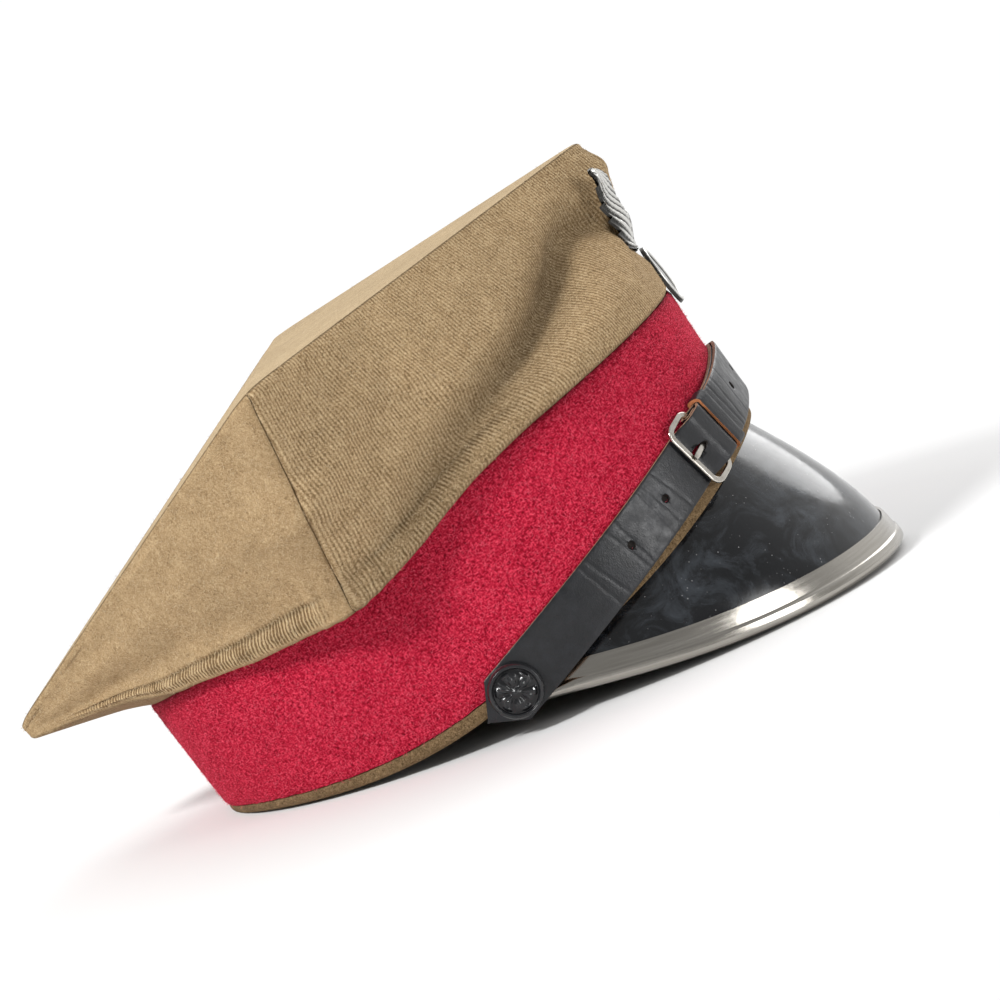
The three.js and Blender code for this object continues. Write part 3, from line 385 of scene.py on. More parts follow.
def finished(piece, slot, *nodes):
    """Rides with the cap and stands for CAD nodes; slot is not used."""
    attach(piece, "root")
    if nodes:
        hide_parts(*nodes)
    return piece


# Materials


class Look:
    """A material, with short calls for the nodes that it is made of."""

    def __init__(self, name, **constants):
        self.material = bpy.data.materials.new(name)
        self.material.use_nodes = True
        self.tree = self.material.node_tree
        self.tree.nodes.clear()
        self.shader = self.node("ShaderNodeBsdfPrincipled")
        output = self.node("ShaderNodeOutputMaterial")
        self.tree.links.new(self.shader.outputs[0], output.inputs[0])
        for key, value in constants.items():
            self.shader.inputs[key.replace("_", " ")].default_value = value

    def node(self, kind, **settings):
        made = self.tree.nodes.new(kind)
        for key, value in settings.items():
            setattr(made, key, value)
        return made

    def put(self, value, socket):
        if isinstance(value, bpy.types.NodeSocket):
            self.tree.links.new(value, socket)
        elif hasattr(value, "__len__") and len(value) == 3 and len(socket.default_value) == 4:
            socket.default_value = (*value, 1.0)
        else:
            socket.default_value = value

    def set(self, name, value):
        self.put(value, self.shader.inputs[name])

    def math(self, operation, a, b=0.0, clamp=False):
        made = self.node("ShaderNodeMath", operation=operation, use_clamp=clamp)
        self.put(a, made.inputs[0])
        self.put(b, made.inputs[1])
        return made.outputs[0]

    def place(self):
        """The point in millimetres."""
        made = self.node("ShaderNodeTexCoord")
        scaled = self.node("ShaderNodeVectorMath", operation="SCALE")
        self.tree.links.new(made.outputs["Object"], scaled.inputs[0])
        scaled.inputs["Scale"].default_value = 1000.0
        return scaled.outputs[0]

    def cloth(self):
        """The point on the flat cloth in millimetres."""
        return self.node("ShaderNodeUVMap", uv_map="cloth").outputs[0]

    def mark(self, name):
        return self.node("ShaderNodeAttribute", attribute_name=name).outputs["Fac"]

    def stretched(self, vector, scale, turn=0.0):
        made = self.node("ShaderNodeMapping")
        self.put(vector, made.inputs["Vector"])
        made.inputs["Scale"].default_value = scale
        made.inputs["Rotation"].default_value = (0, 0, math.radians(turn))
        return made.outputs[0]

    def along(self, vector, degrees):
        """Distance along one direction of the cloth."""
        made = self.node("ShaderNodeVectorMath", operation="DOT_PRODUCT")
        self.put(vector, made.inputs[0])
        angle = math.radians(degrees)
        made.inputs[1].default_value = (math.cos(angle), math.sin(angle), 0)
        return made.outputs["Value"]

    def noise(self, vector, scale, detail=3.0, roughness=0.55, distortion=0.0):
        made = self.node("ShaderNodeTexNoise")
        self.put(vector, made.inputs["Vector"])
        made.inputs["Scale"].default_value = scale
        made.inputs["Detail"].default_value = detail
        made.inputs["Roughness"].default_value = roughness
        made.inputs["Distortion"].default_value = distortion
        return made.outputs[0]

    def cells(self, vector, scale):
        """Distance to the nearest of some scattered points."""
        made = self.node("ShaderNodeTexVoronoi")
        self.put(vector, made.inputs["Vector"])
        made.inputs["Scale"].default_value = scale
        return made.outputs["Distance"]

    def ramp(self, share, *stops):
        made = self.node("ShaderNodeValToRGB")
        self.put(share, made.inputs[0])
        elements = made.color_ramp.elements
        while len(elements) < len(stops):
            elements.new(0.5)
        for element, (at, colour) in zip(elements, stops):
            element.position = at
            element.color = (*colour, 1) if hasattr(colour, "__len__") else (colour,) * 3 + (1,)
        return made.outputs[0]

    def range(self, value, low, high, to_low=0.0, to_high=1.0):
        made = self.node("ShaderNodeMapRange")
        self.put(value, made.inputs["Value"])
        for key, number in zip(("From Min", "From Max", "To Min", "To Max"),
                               (low, high, to_low, to_high)):
            made.inputs[key].default_value = number
        return made.outputs[0]

    def mix(self, share, a, b, blend="MIX"):
        made = self.node("ShaderNodeMix", data_type="RGBA", blend_type=blend)
        self.put(share, made.inputs["Factor"])
        self.put(a, made.inputs[6])
        self.put(b, made.inputs[7])
        return made.outputs[2]

    def wave(self, distance, period):
        """A ripple from 0 to 1 with the given period in millimetres."""
        turned = self.math("MULTIPLY", distance, 2 * math.pi / period)
        return self.range(self.math("SINE", turned), -1, 1)

    def bump(self, height, distance, strength=1.0, normal=None):
        """distance is the height of a full step, in millimetres."""
        made = self.node("ShaderNodeBump")
        made.inputs["Strength"].default_value = strength
        made.inputs["Distance"].default_value = distance * METRES
        self.put(height, made.inputs["Height"])
        if normal is not None:
            self.put(normal, made.inputs["Normal"])
        return made.outputs[0]


def wool_look(name, dark, base, light, twill=None, hatched=False, ribs=False, contrast=1.0):
    """Felted wool. twill is its lines' direction and depth; hatched felt shows warp and weft."""
    look = Look(name, Roughness=0.95, Sheen_Weight=0.1, Sheen_Roughness=0.4)
    look.set("Specular IOR Level", 0.12)
    look.set("Sheen Tint", base)
    cloth, place = look.cloth(), look.place()
    blotches = look.noise(place, 0.03, 4, 0.6)
    patches = look.noise(place, 0.16, 3, 0.6, 0.6)
    fuzz = look.noise(place, 1.3, 5, 0.72, 1.2)
    if hatched:
        one_way = look.noise(look.stretched(cloth, (0.75, 2.9, 1.0), 6), 1.0, 2, 0.5)
        other_way = look.noise(look.stretched(cloth, (2.9, 0.75, 1.0), -5), 1.0, 2, 0.5)
        fuzz = look.range(fuzz, 0, 1, 0.25, 0.75)
    else:
        one_way = look.noise(look.stretched(place, (2.6, 2.6, 0.8), 35), 1.0, 4, 0.7, 2.0)
        other_way = look.noise(look.stretched(place, (0.8, 2.6, 2.6), -20), 1.0, 4, 0.7, 2.0)
    fibres = look.math("MAXIMUM", one_way, other_way)
    shown = look.math("SUBTRACT", look.math("ADD", fuzz, fibres), 1.04)
    tone = look.math("ADD", look.math("MULTIPLY", shown, 1.15 * contrast), 0.5)
    height = look.math("ADD", look.math("MULTIPLY", fuzz, 0.6), look.math("MULTIPLY", fibres, 0.6))
    if twill:
        degrees, depth = twill
        wobble = look.math("MULTIPLY", look.noise(cloth, 0.1, 2, 0.5), 1.1)
        diagonal = look.wave(look.math("ADD", look.along(cloth, degrees), wobble), 1.2)
        stitches = look.wave(look.math("ADD", look.along(cloth, degrees + 62), wobble), 1.05)
        broken = look.range(look.noise(place, 0.5, 3, 0.7), 0.35, 0.6, 0.3, 1.0)
        woven = look.math("MULTIPLY", diagonal, look.range(stitches, 0, 1, 0.6, 1.0))
        woven = look.math("MULTIPLY", look.math("SUBTRACT", woven, 0.4), broken)
        tone = look.math("ADD", tone, look.math("MULTIPLY", woven, depth))
        height = look.math("ADD", height, look.math("MULTIPLY", woven, 1.5 * depth))
    tone = look.math("ADD", tone, look.range(patches, 0.3, 0.7, -0.04, 0.04))
    if ribs:
        waver = look.math("MULTIPLY", look.noise(place, 0.4, 3), 1.3)
        ridges = look.wave(look.math("ADD", look.mark("rib_run"), waver), 1.35)
        ridged = look.math("MULTIPLY", look.math("SUBTRACT", ridges, 0.6), look.mark("ribbed"))
        # The ribs' grooves are painted darker and their ridges lighter: painted shade and light,
        # besides their bump.
        tone = look.math("ADD", tone, look.math("MULTIPLY", ridged, 0.45))
        height = look.math("ADD", height, look.math("MULTIPLY", ridged, 1.2))
    colour = look.ramp(tone, (0.28, dark), (0.5, base), (0.74, light))
    shade = look.range(blotches, 0.3, 0.7, 0.92, 1.06)
    shade = look.math("MULTIPLY", shade, look.range(look.mark("shaded"), 0, 1, 1.0, 0.35))
    grey = look.node("ShaderNodeCombineColor")
    for k in range(3):
        look.put(shade, grey.inputs[k])
    look.set("Base Color", look.mix(1.0, colour, grey.outputs[0], "MULTIPLY"))
    look.set("Normal", look.bump(height, 0.4, 0.8))
    return look.material


KHAKI = ((0.165, 0.102, 0.048), (0.385, 0.262, 0.138), (0.62, 0.47, 0.28))
# The top's cloth is the walls' khaki with lighter colours: painted light on the top, which faces
# the light.
KHAKI_TOP_LIT = ((0.26, 0.18, 0.1), (0.46, 0.34, 0.2), (0.62, 0.5, 0.33))
KHAKI_EDGE = ((0.06, 0.038, 0.019), (0.16, 0.104, 0.052), (0.3, 0.205, 0.11))
CRIMSON = ((0.12, 0.001, 0.008), (0.36, 0.006, 0.025), (0.68, 0.045, 0.09))
khaki_front = wool_look("khaki_twill", *KHAKI, twill=(13, 0.36), ribs=True, contrast=1.05)
khaki_back = wool_look("khaki_felted", *KHAKI, ribs=True, contrast=0.75)
khaki_top = wool_look("khaki_top", *KHAKI_TOP_LIT)
khaki_base = wool_look("khaki_edge", *KHAKI_EDGE, contrast=1.2)
crimson = wool_look("crimson_felt", *CRIMSON, hatched=True, contrast=1.5)


def plain_look(name, colour):
    look = Look(name, Roughness=0.9)
    look.set("Specular IOR Level", 0.1)
    look.set("Base Color", colour)
    return look.material


crimson_fibre = plain_look("crimson_fibre", (0.78, 0.1, 0.16))
khaki_fibre = plain_look("khaki_fibre", (0.56, 0.44, 0.28))


def rim_look():
    """Nickel with faint streaks along the rim and stained pits in scattered patches."""
    look = Look("rim_nickel", Metallic=1.0)
    cloth = look.cloth()
    streaks = look.noise(look.stretched(cloth, (0.03, 0.7, 1.0)), 1.0, 4, 0.6)
    pits = look.range(look.cells(look.place(), 0.6), 0.0, 0.16, 1.0, 0.0)
    where = look.range(look.noise(cloth, 0.08, 3), 0.5, 0.66)
    stained = look.math("MULTIPLY", pits, where, clamp=True)
    tone = look.ramp(streaks, (0.3, (0.33, 0.31, 0.275)), (0.7, (0.41, 0.39, 0.355)))
    look.set("Base Color", look.mix(stained, tone, (0.16, 0.14, 0.12)))
    look.set("Roughness", look.range(streaks, 0.3, 0.7, 0.14, 0.24))
    look.set("Normal", look.bump(look.noise(look.place(), 0.1, 3), 0.2, 0.4))
    return look.material


def lacquer_look():
    look = Look("black_lacquer")
    look.set("Specular IOR Level", 0.5)
    place = look.place()
    specks = look.range(look.cells(place, 0.5), 0.0, 0.13, 1.0, 0.0)
    where = look.range(look.noise(place, 0.09, 3, 0.6), 0.46, 0.62)
    dust = look.math("MULTIPLY", specks, where, clamp=True)
    haze = look.range(look.noise(place, 0.07, 6, 0.72, 0.8), 0.44, 0.74)
    grime = look.mix(haze, (0.0035, 0.004, 0.005), (0.042, 0.048, 0.056))
    look.set("Base Color", look.mix(dust, grime, (0.45, 0.45, 0.45)))
    smears = look.noise(look.stretched(place, (0.05, 0.05, 0.16)), 1.0, 5, 0.65)
    look.set("Roughness", look.range(smears, 0.3, 0.8, 0.07, 0.27))
    peel = look.noise(place, 0.2, 3, 0.5)
    scratches = look.noise(look.stretched(place, (0.15, 3.0, 0.4), 25), 1.0, 2)
    normal = look.bump(peel, 0.08, 0.5)
    look.set("Normal", look.bump(scratches, 0.01, 0.25, normal))
    return look.material


def metal_look(name, colour, stain, smoothness, grain=1.0):
    look = Look(name, Metallic=1.0)
    place = look.place()
    tarnish = look.range(look.noise(place, 0.5, 5, 0.7), 0.5, 0.8)
    look.set("Base Color", look.mix(tarnish, colour, stain))
    fine = look.noise(look.stretched(place, (0.4, 0.4, 2.5), 15), 1.5, 4)
    look.set("Roughness", look.range(fine, 0.2, 0.8, smoothness, smoothness + 0.12))
    normal = look.bump(look.noise(place, 0.12, 3), 0.15 * grain, 0.4)
    look.set("Normal", look.bump(fine, 0.02 * grain, 0.3, normal))
    return look.material


def leather_look(name, dark, light, gloss):
    look = Look(name)
    look.set("Specular IOR Level", 0.5)
    place = look.place()
    pores = look.cells(place, 1.9)
    wear = look.range(look.noise(place, 0.12, 5, 0.7), 0.45, 0.8)
    look.set("Base Color", look.mix(wear, dark, light))
    look.set("Roughness", look.range(look.noise(place, 0.3, 4), 0.3, 0.7, gloss, gloss + 0.2))
    grain = look.math("ADD", look.noise(place, 0.8, 5), look.math("MULTIPLY", pores, 0.35))
    look.set("Normal", look.bump(grain, 0.16, 0.55))
    return look.material


def raw_edge_look(name, dark, light):
    look = Look(name, Roughness=0.9)
    place = look.place()
    fibres = look.noise(look.stretched(place, (0.8, 0.8, 2.4)), 1.0, 5, 0.7)
    look.set("Base Color", look.ramp(fibres, (0.3, dark), (0.7, light)))
    look.set("Normal", look.bump(fibres, 0.15, 0.8))
    return look.material


def relief_look(name, recess, raised, metallic, roughness):
    """Metal whose recesses stay dark."""
    look = Look(name, Metallic=metallic, Roughness=roughness)
    place = look.place()
    height = look.mark("relief")
    tone_amount = look.math("ADD", height, look.math("MULTIPLY", look.noise(place, 0.9, 4), 0.3))
    look.set("Base Color", look.ramp(tone_amount, (0.42, recess), (0.8, raised)))
    look.set("Normal", look.bump(look.noise(place, 1.5, 4), 0.06, 0.4))
    return look.material


lacquer = lacquer_look()
peak_lining = leather_look("peak_underside", (0.012, 0.012, 0.012), (0.03, 0.028, 0.026), 0.55)
rim_nickel = rim_look()
nickel = metal_look("nickel", (0.55, 0.52, 0.47), (0.3, 0.26, 0.21), 0.16)
leather = leather_look("black_leather", (0.0035, 0.004, 0.0055), (0.012, 0.013, 0.017), 0.28)
leather_inside = raw_edge_look("leather_inside", (0.10, 0.055, 0.03), (0.22, 0.13, 0.08))
leather_edge = raw_edge_look("leather_edge", (0.13, 0.07, 0.035), (0.36, 0.22, 0.14))
keeper_edge = raw_edge_look("keeper_edge", (0.32, 0.10, 0.03), (0.62, 0.25, 0.10))
# The holes' cut walls and floors are near black: painted shade in the holes.
hole_shade = raw_edge_look("hole_shade", (0.004, 0.003, 0.003), (0.02, 0.014, 0.01))
blackened = relief_look("blackened_metal", (0.003, 0.003, 0.004), (0.014, 0.0145, 0.016), 0.0, 0.2)
silvered = relief_look("silvered_metal", (0.05, 0.048, 0.044), (0.66, 0.65, 0.62), 1.0, 0.3)


# Crown: walls and top

WALL_STEPS, ROLL_STEPS = 100, 16
EDGE_ROUND, EDGE_STEPS = 1.1, 5
TIP_REACH, TIP_DROP, TIP_PULL = 6.0, 0.5, 1.0
FIBRE_WIDTH = 0.09
WALL_FIBRES, WALL_FIBRE_LENGTH = 5000, 1.1
FELT_FIBRES, FELT_FIBRE_LENGTH = 24000, 1.2


def soft_tips(points):
    """Wears the top's four corner tips down and in."""
    moved = points.copy()
    for corner in SHARP:
        away = np.linalg.norm(points - corner, axis=-1)
        share = hump(away, 0, TIP_REACH)[..., None]
        inward = -corner * [1, 1, 0] / np.linalg.norm(corner[:2])
        moved = moved + share * (inward * TIP_PULL - np.array([0, 0, TIP_DROP]))
    return moved


def rounded_edge(turn):
    """The wall's cloth turning over the top edge, from the seam outward and down."""
    edge, outward = top_outline(turn), top_outward(turn)
    points = []
    for degrees in np.linspace(70, 0, EDGE_STEPS):
        inset = EDGE_ROUND * (1 - math.cos(math.radians(degrees)))
        drop = EDGE_ROUND * (1 - math.sin(math.radians(degrees)))
        points.append(edge - outward * inset - np.array([0, 0, drop + 0.05]))
    return np.array(points)


def rounded_lining(turn):
    edge, outward = top_outline(turn), top_outward(turn)
    places = np.linspace([0.9, 0.5], [1.6, CLOTH + 0.1], EDGE_STEPS)
    return np.array([edge - outward * inset - np.array([0, 0, drop]) for inset, drop in places])


def hem_marks(turns, column, run):
    """Where the hem's roll is ribbed, how far along the hem, and where shade is painted dark into
    the cloth.
    """
    down = np.clip(column / WALL_STEPS, 0, None)
    behind = smooth(turns, 1.02, 1.12) * (1 - smooth(turns, 1.78, 1.95))
    ahead = 0.4 * smooth(turns, 0.45, 0.7) * (1 - smooth(turns, 0.93, 1.0))
    band = smooth(down, 0.865, 0.905) * (1 - smooth(down, 1.0, 1.04))
    ribbed = (behind + ahead)[:, None] * band[None]
    rib_run = np.broadcast_to(run[:, None], ribbed.shape)
    # Painted shade in the crease above the hem's roll.
    crease = hump(down, 0.895, 0.012)[None] * (behind + ahead)[:, None] * 0.55
    # Painted shade in the fold's valley, centred a little above its bottom.
    valley_at = table_value(FOLDS, "turn", "valley_at", turns)[:, None]
    valley_in = table_value(FOLDS, "turn", "valley_in", turns)[:, None]
    tone_amount = 0.72 * valley_in * hump(down[None], valley_at - 0.04, 0.13)
    tone_amount = tone_amount * smooth(turns, 0.03, 0.15)[:, None] * (1 - smooth(turns, 0.9, 1.0))[:, None]
    # The front panel is also darker near its hem, from the middle of the panel to the side.
    at_hem = smooth(turns, 0.4, 0.75)[:, None] * (1 - smooth(turns, 1.0, 1.01))[:, None]
    tone_amount = tone_amount + 0.3 * at_hem * smooth(down, 0.8, 0.9)[None]
    # Painted shade: the front panel is darker towards the front seam.
    painted_front_shade = 0.14 * (1 - smooth(turns, 0.3, 0.85))[:, None]
    # Painted shade along the seam at the top edge.
    seam = np.interp(column, [1 - EDGE_STEPS, 3 - EDGE_STEPS], [1.0, 0.0])
    # Painted shade under the hem's roll.
    rolled_under = 0.5 * smooth(column - WALL_STEPS, 3, 9)
    shaded = crease + tone_amount + painted_front_shade + seam[None] + rolled_under[None]
    return {"ribbed": ribbed, "rib_run": rib_run, "shaded": np.clip(shaded, 0, 1)}


def fibres(name, points, normals, count, length, material, slot):
    """Loose fibres that stand off a cloth, each a thin curved blade rooted in it."""
    chance = np.random.default_rng(len(name) + count)
    a, b = points[1:, 1:] - points[:-1, :-1], points[1:, :-1] - points[:-1, 1:]
    area = np.linalg.norm(np.cross(a, b), axis=-1).ravel()
    cell = chance.choice(len(area), count, p=area / area.sum())
    i, j = cell // a.shape[1], cell % a.shape[1]
    u, v = chance.random((2, count, 1))
    near = mixed(points[i, j], points[i + 1, j], u)
    far = mixed(points[i, j + 1], points[i + 1, j + 1], u)
    root, out = mixed(near, far, v), normals[i, j]
    aside = chance.normal(size=(count, 3))
    aside -= out * np.sum(aside * out, -1, keepdims=True)
    aside /= np.linalg.norm(aside, axis=-1, keepdims=True)
    reach = length * chance.uniform(0.4, 1.5, (count, 1))
    rise = chance.uniform(0.15, 0.6, (count, 1))
    across = np.cross(out, aside) * FIBRE_WIDTH / 2
    curl = np.cross(out, aside) * reach * chance.uniform(-0.5, 0.5, (count, 1))
    middle = root + (aside * 0.55 + out * rise * 0.7) * reach
    tip = root + (aside + out * rise * 0.8) * reach + curl
    root = root - out * 0.1
    vertices = np.stack([root - across, root + across, middle + across, middle - across, tip], 1)
    first = np.arange(count) * 5
    faces = [(k, k + 1, k + 2, k + 3) for k in first] + [(k + 3, k + 2, k + 4) for k in first]
    mesh = bpy.data.meshes.new(name)
    mesh.from_pydata([tuple(p) for p in rested(vertices.reshape(-1, 3))], [], faces)
    mesh.materials.append(material)
    piece = bpy.data.objects.new(name, mesh)
    bpy.context.collection.objects.link(piece)
    return finished(piece, slot)


def crown_wall(name, k, side, seed, material):
    turns = quarter_turns(k, 12, 190)
    mirror = np.array([1, side, 1])
    outer = np.array([crown_section(t, 0.0, WALL_STEPS, ROLL_STEPS) for t in turns])
    inner = np.array([crown_section(t, CLOTH, WALL_STEPS, ROLL_STEPS) for t in turns])
    outer[:, 0] = mixed(outer[:, 0], outer[:, 1], 0.4)
    outer = np.concatenate([[rounded_edge(t) for t in turns], outer], 1)
    inner = np.concatenate([[rounded_lining(t) for t in turns], inner], 1)
    column = np.arange(outer.shape[1]) - EDGE_STEPS
    down = np.clip(column / WALL_STEPS, 0, None)
    outer, inner = soft_tips(outer), soft_tips(inner)
    normal = grid_normals(outer)
    if np.mean(np.sum(normal[:, 20] * (outer[:, 20] - outer.mean((0, 1)) * [1, 0, 0]), -1)) < 0:
        normal = -normal
    along = lengths(outer, 0)
    from_seams = np.minimum(along, along[-1] - along)
    foot = along[:, WALL_STEPS + EDGE_STEPS]
    foot_from_side = foot[-1] - foot if k == 0 else foot
    seam = hump(from_seams, 0, 0.8)
    on_wall = smooth(column, 0, 4) * (1 - smooth(column, WALL_STEPS, WALL_STEPS + ROLL_STEPS))
    small = rough(outer, 0.035, seed + 9) * 0.9 + rough(outer, 0.09, seed) * 0.6
    small = small + rough(outer, 0.25, seed + 5) * 0.2
    marks = hem_marks(turns, column, foot)
    rolled = marks["ribbed"].max(1)[:, None]
    bulge = 0.85 * hump(down, 0.955, 0.03) - 0.55 * hump(down, 0.893, 0.016)
    ribs = 0.22 * np.sin(2 * math.pi * marks["rib_run"] / 1.5) * marks["ribbed"]
    near_side = hump(foot_from_side, 0, 16)[:, None] * smooth(down, 0.72, 0.9)[None]
    pinched = 0.5 * np.sin(2 * math.pi * along / 6.5 + 3 * down[None]) * near_side
    push = (small * on_wall[None] - 0.5 * seam * on_wall[None] + bulge[None] * rolled
            + ribs + pinched * on_wall[None])
    outer = outer + normal * push[..., None]
    inner = inner + normal * np.minimum(push, 0)[..., None]
    for grid in (outer, inner):
        grid[0, :, 1 if k == 0 else 0] += CLEARANCE / 2 * (1 if k == 0 else -1)
        grid[-1, :, 0 if k == 0 else 1] += CLEARANCE / 2
    # The flat cloth is measured along the top edge and square to it
    edge = SHARP[k + 1] - SHARP[k]
    edge = edge / np.linalg.norm(edge)
    lower = outer[:, WALL_STEPS].mean(0) - outer[:, EDGE_STEPS].mean(0)
    lower = lower - edge * (lower @ edge)
    lower = lower / np.linalg.norm(lower)
    uv = np.stack([outer @ edge, outer @ lower], -1)
    piece = shell(name + "_cloth", outer * mirror, inner * mirror, uv, [material], marks=marks,
                  sharp=75)
    reached = WALL_STEPS + EDGE_STEPS + 6
    loose = fibres(name + "_fibres", outer[:, :reached] * mirror, normal[:, :reached] * mirror,
                   WALL_FIBRES, WALL_FIBRE_LENGTH, khaki_fibre, "crown_cloth")
    return finished(piece, "crown_cloth", name)


crown_wall("crown_front_right", 0, -1, 3.0, khaki_front)
crown_wall("crown_front_left", 0, 1, 13.0, khaki_front)
crown_wall("crown_back_right", 1, -1, 23.0, khaki_back)
crown_wall("crown_back_left", 1, 1, 33.0, khaki_back)


def crown_top():
    turns = np.concatenate([quarter_turns(k, 10, 60)[:-1] for k in range(4)])
    middle = (CORNER_POINTS[1] + CORNER_POINTS[3]) / 2
    seam_inset = 1.0
    outer, inner = [], []
    for turn in turns:
        edge, outward = top_outline(turn), top_outward(turn)
        soft = edge - outward * (seam_inset + 0.5)
        shares = 1 - (1 - np.linspace(0, 1, 26)) ** 1.6
        flat = middle + (soft - middle) * shares[:, None]
        curled = [
            soft
            + outward * 0.5 * math.sin(math.radians(d))
            - np.array([0, 0, 0.5 * (1 - math.cos(math.radians(d)))])
            for d in np.linspace(0, 90, 7)[1:]
        ]
        outer.append(np.concatenate([flat, curled]))
        under = edge - outward * (seam_inset + 0.7) - np.array([0, 0, CLOTH])
        low_middle = middle - np.array([0, 0, CLOTH])
        inner.append(low_middle + (under - low_middle) * np.linspace(0, 1, len(outer[-1]))[:, None])
    outer, inner = soft_tips(np.array(outer)), soft_tips(np.array(inner))
    count = outer.shape[1]
    free = smooth(np.arange(count), 25, 8) * smooth(np.arange(count), 0, 6)
    outer[..., 2] += rough(outer, 0.03, 8) * 0.7 * free[None]
    uv = np.concatenate([outer, outer[:1]])[..., :2]
    piece = shell("crown_top_cloth", outer, inner, uv, [khaki_top], wrap=True)
    return finished(piece, "crown_cloth", "crown_top")


crown_top()


# Band

RING = np.linspace(-math.pi, math.pi, 480, endpoint=False)


def ring_uv(outer):
    around = lengths(np.concatenate([outer, outer[:1]]), 0)[:, :1]
    down = np.concatenate([lengths(outer, 1), lengths(outer[:1], 1)])
    return np.stack([np.broadcast_to(around, down.shape), down], -1)


def red_band():
    low = lower_edge(RING) + trim_height(RING)
    shares = np.linspace(0, 1, 30)
    heights = BAND_HEIGHT + (low - BAND_HEIGHT)[:, None] * shares
    outer = band_point(RING[:, None], 0.0, heights)
    fuzz = rough(outer, 0.55, 2) * 0.16 + rough(outer, 0.06, 4) * 0.3
    rounding = 0.55 * (hump(shares, 0, 0.012) + hump(shares, 1, 0.012))
    aside = np.concatenate([band_outward(RING), np.zeros((len(RING), 1))], -1)[:, None]
    outer = outer + aside * (fuzz - rounding)[..., None]
    outer[:, -1, 2] += rough(outer[:, -1], 0.6, 9) * 0.25
    loose = fibres("red_band_fibres", outer, np.broadcast_to(aside, outer.shape),
                   FELT_FIBRES, FELT_FIBRE_LENGTH, crimson_fibre, "band_felt")
    inner = band_point(RING[:, None], -FELT, heights)
    under_crown = 0.85 * np.exp(-lengths(outer, 1) / 1.6)
    piece = shell("red_band_felt", outer, inner, ring_uv(outer), [crimson], wrap=True,
                  marks={"shaded": under_crown})
    return finished(piece, "band_felt", "red_band")


def base_band():
    low = lower_edge(RING)
    foot_top = low + trim_height(RING) - CLEARANCE
    rows_out, rows_in = [], []
    for angle, bottom, top in zip(RING, low, foot_top):
        bend = np.radians(np.linspace(90, -90, 9))
        radius = (top - bottom) / 2
        round_out = -FOOT_INSET - 0.5 + 0.5 * np.cos(bend)
        round_up = (top + bottom) / 2 + radius * np.sin(bend)
        upright = np.linspace(BAND_HEIGHT, top, 5)
        rows_out.append(
            np.concatenate(
                [band_point(angle, BASE_OUTER, upright), band_point(angle, round_out, round_up)]
            )
        )
        inside = np.linspace(BAND_HEIGHT, bottom, len(rows_out[-1]))
        rows_in.append(band_point(angle, BASE_INNER, inside))
    outer, inner = np.array(rows_out), np.array(rows_in)
    piece = shell("base_band_cloth", outer, inner, ring_uv(outer), [khaki_base], wrap=True)
    for vertex in piece.data.vertices:
        vertex.co.z = max(vertex.co.z, 0.0)
    return finished(piece, "base_cloth", "base_band")


red_band()
base_band()


# Peak and its rim


def peak_size(angle):
    ahead = np.maximum(0, np.cos(angle / PEAK_HALF * math.pi / 2))
    return mixed(PEAK_END, 1.0, ahead**PEAK_TAPER)


def peak_edge(angle):
    return lower_edge(angle) - PEAK_DEPTH * peak_size(angle)


def peak_out(angle, height):
    low = lower_edge(angle) - CLEARANCE
    down = np.clip((low - height) / (low - peak_edge(angle)), 0, 1)
    return BASE_INNER - CLEARANCE + PEAK_FLARE * peak_size(angle) * np.sin(down * math.pi / 2)


PEAK_ANGLES = np.linspace(-PEAK_HALF, PEAK_HALF, 181)


def peak():
    angle = PEAK_ANGLES[:, None]
    low = lower_edge(angle) - CLEARANCE
    shares = np.linspace(0, 1, 48)
    heights = np.concatenate([low + PEAK_TUCK, low + (peak_edge(angle) - low) * shares], 1)
    out = peak_out(angle, heights)
    outer = band_point(angle, out, heights)
    inner = band_point(angle, out - PEAK_THICKNESS, heights)
    uv = np.stack([lengths(outer, 0), lengths(outer, 1)], -1)
    piece = shell("peak_lacquered", outer, inner, uv, [lacquer, peak_lining], inner_slot=1)
    return finished(piece, "peak_lacquer", "peak")


def peak_rim():
    angle = PEAK_ANGLES[:, None]
    edge, low = peak_edge(angle), lower_edge(angle)
    top = np.minimum(edge + RIM_WIDTH, low - 2 * CLEARANCE)
    return_top = np.minimum(edge + RIM_RETURN, top)

    def wall(gap, bead):
        shares = np.linspace(0, 1, 26)
        face = top + (edge - top) * shares
        lip = smooth(shares, 0.6, 0.68) * bead * (1 - 0.35 * smooth(shares, 0.9, 1.0))
        front = band_point(angle, peak_out(angle, face) + gap + lip, face)
        bend = np.radians(np.linspace(0, 180, 11)[1:-1])
        across = PEAK_THICKNESS / 2 + gap
        middle = peak_out(angle, edge) - PEAK_THICKNESS / 2
        under = band_point(angle, middle + across * np.cos(bend), edge)
        under[..., 2] -= min(gap, 1.1) * np.sin(bend)
        back_heights = edge + (return_top - edge) * np.linspace(0, 1, 6)
        back = band_point(
            angle, peak_out(angle, back_heights) - PEAK_THICKNESS - gap, back_heights
        )
        return np.concatenate([front, under, back], 1)

    outer, inner = wall(CLEARANCE + RIM_THICKNESS, 0.45), wall(CLEARANCE, 0.0)
    uv = np.stack([lengths(outer, 0), lengths(outer, 1)], -1)
    piece = shell("peak_rim_nickel", outer, inner, uv, [rim_nickel])
    return finished(piece, "rim_metal", "peak_rim")


peak()
peak_rim()


# Chin strap

PATH_DEGREES = np.linspace(-110, 110, 2201)
PATH = band_point(
    np.radians(PATH_DEGREES),
    0.0,
    STRAP_HEIGHT - STRAP_DROP * np.abs(PATH_DEGREES / BUTTON_ANGLE) ** STRAP_CURVE,
)
PATH_LENGTHS = lengths(PATH[:, None], 0)[:, 0]
PATH_LENGTHS = PATH_LENGTHS - PATH_LENGTHS[-1] / 2
BUTTON_PLACE = float(np.interp(BUTTON_ANGLE, PATH_DEGREES, PATH_LENGTHS))


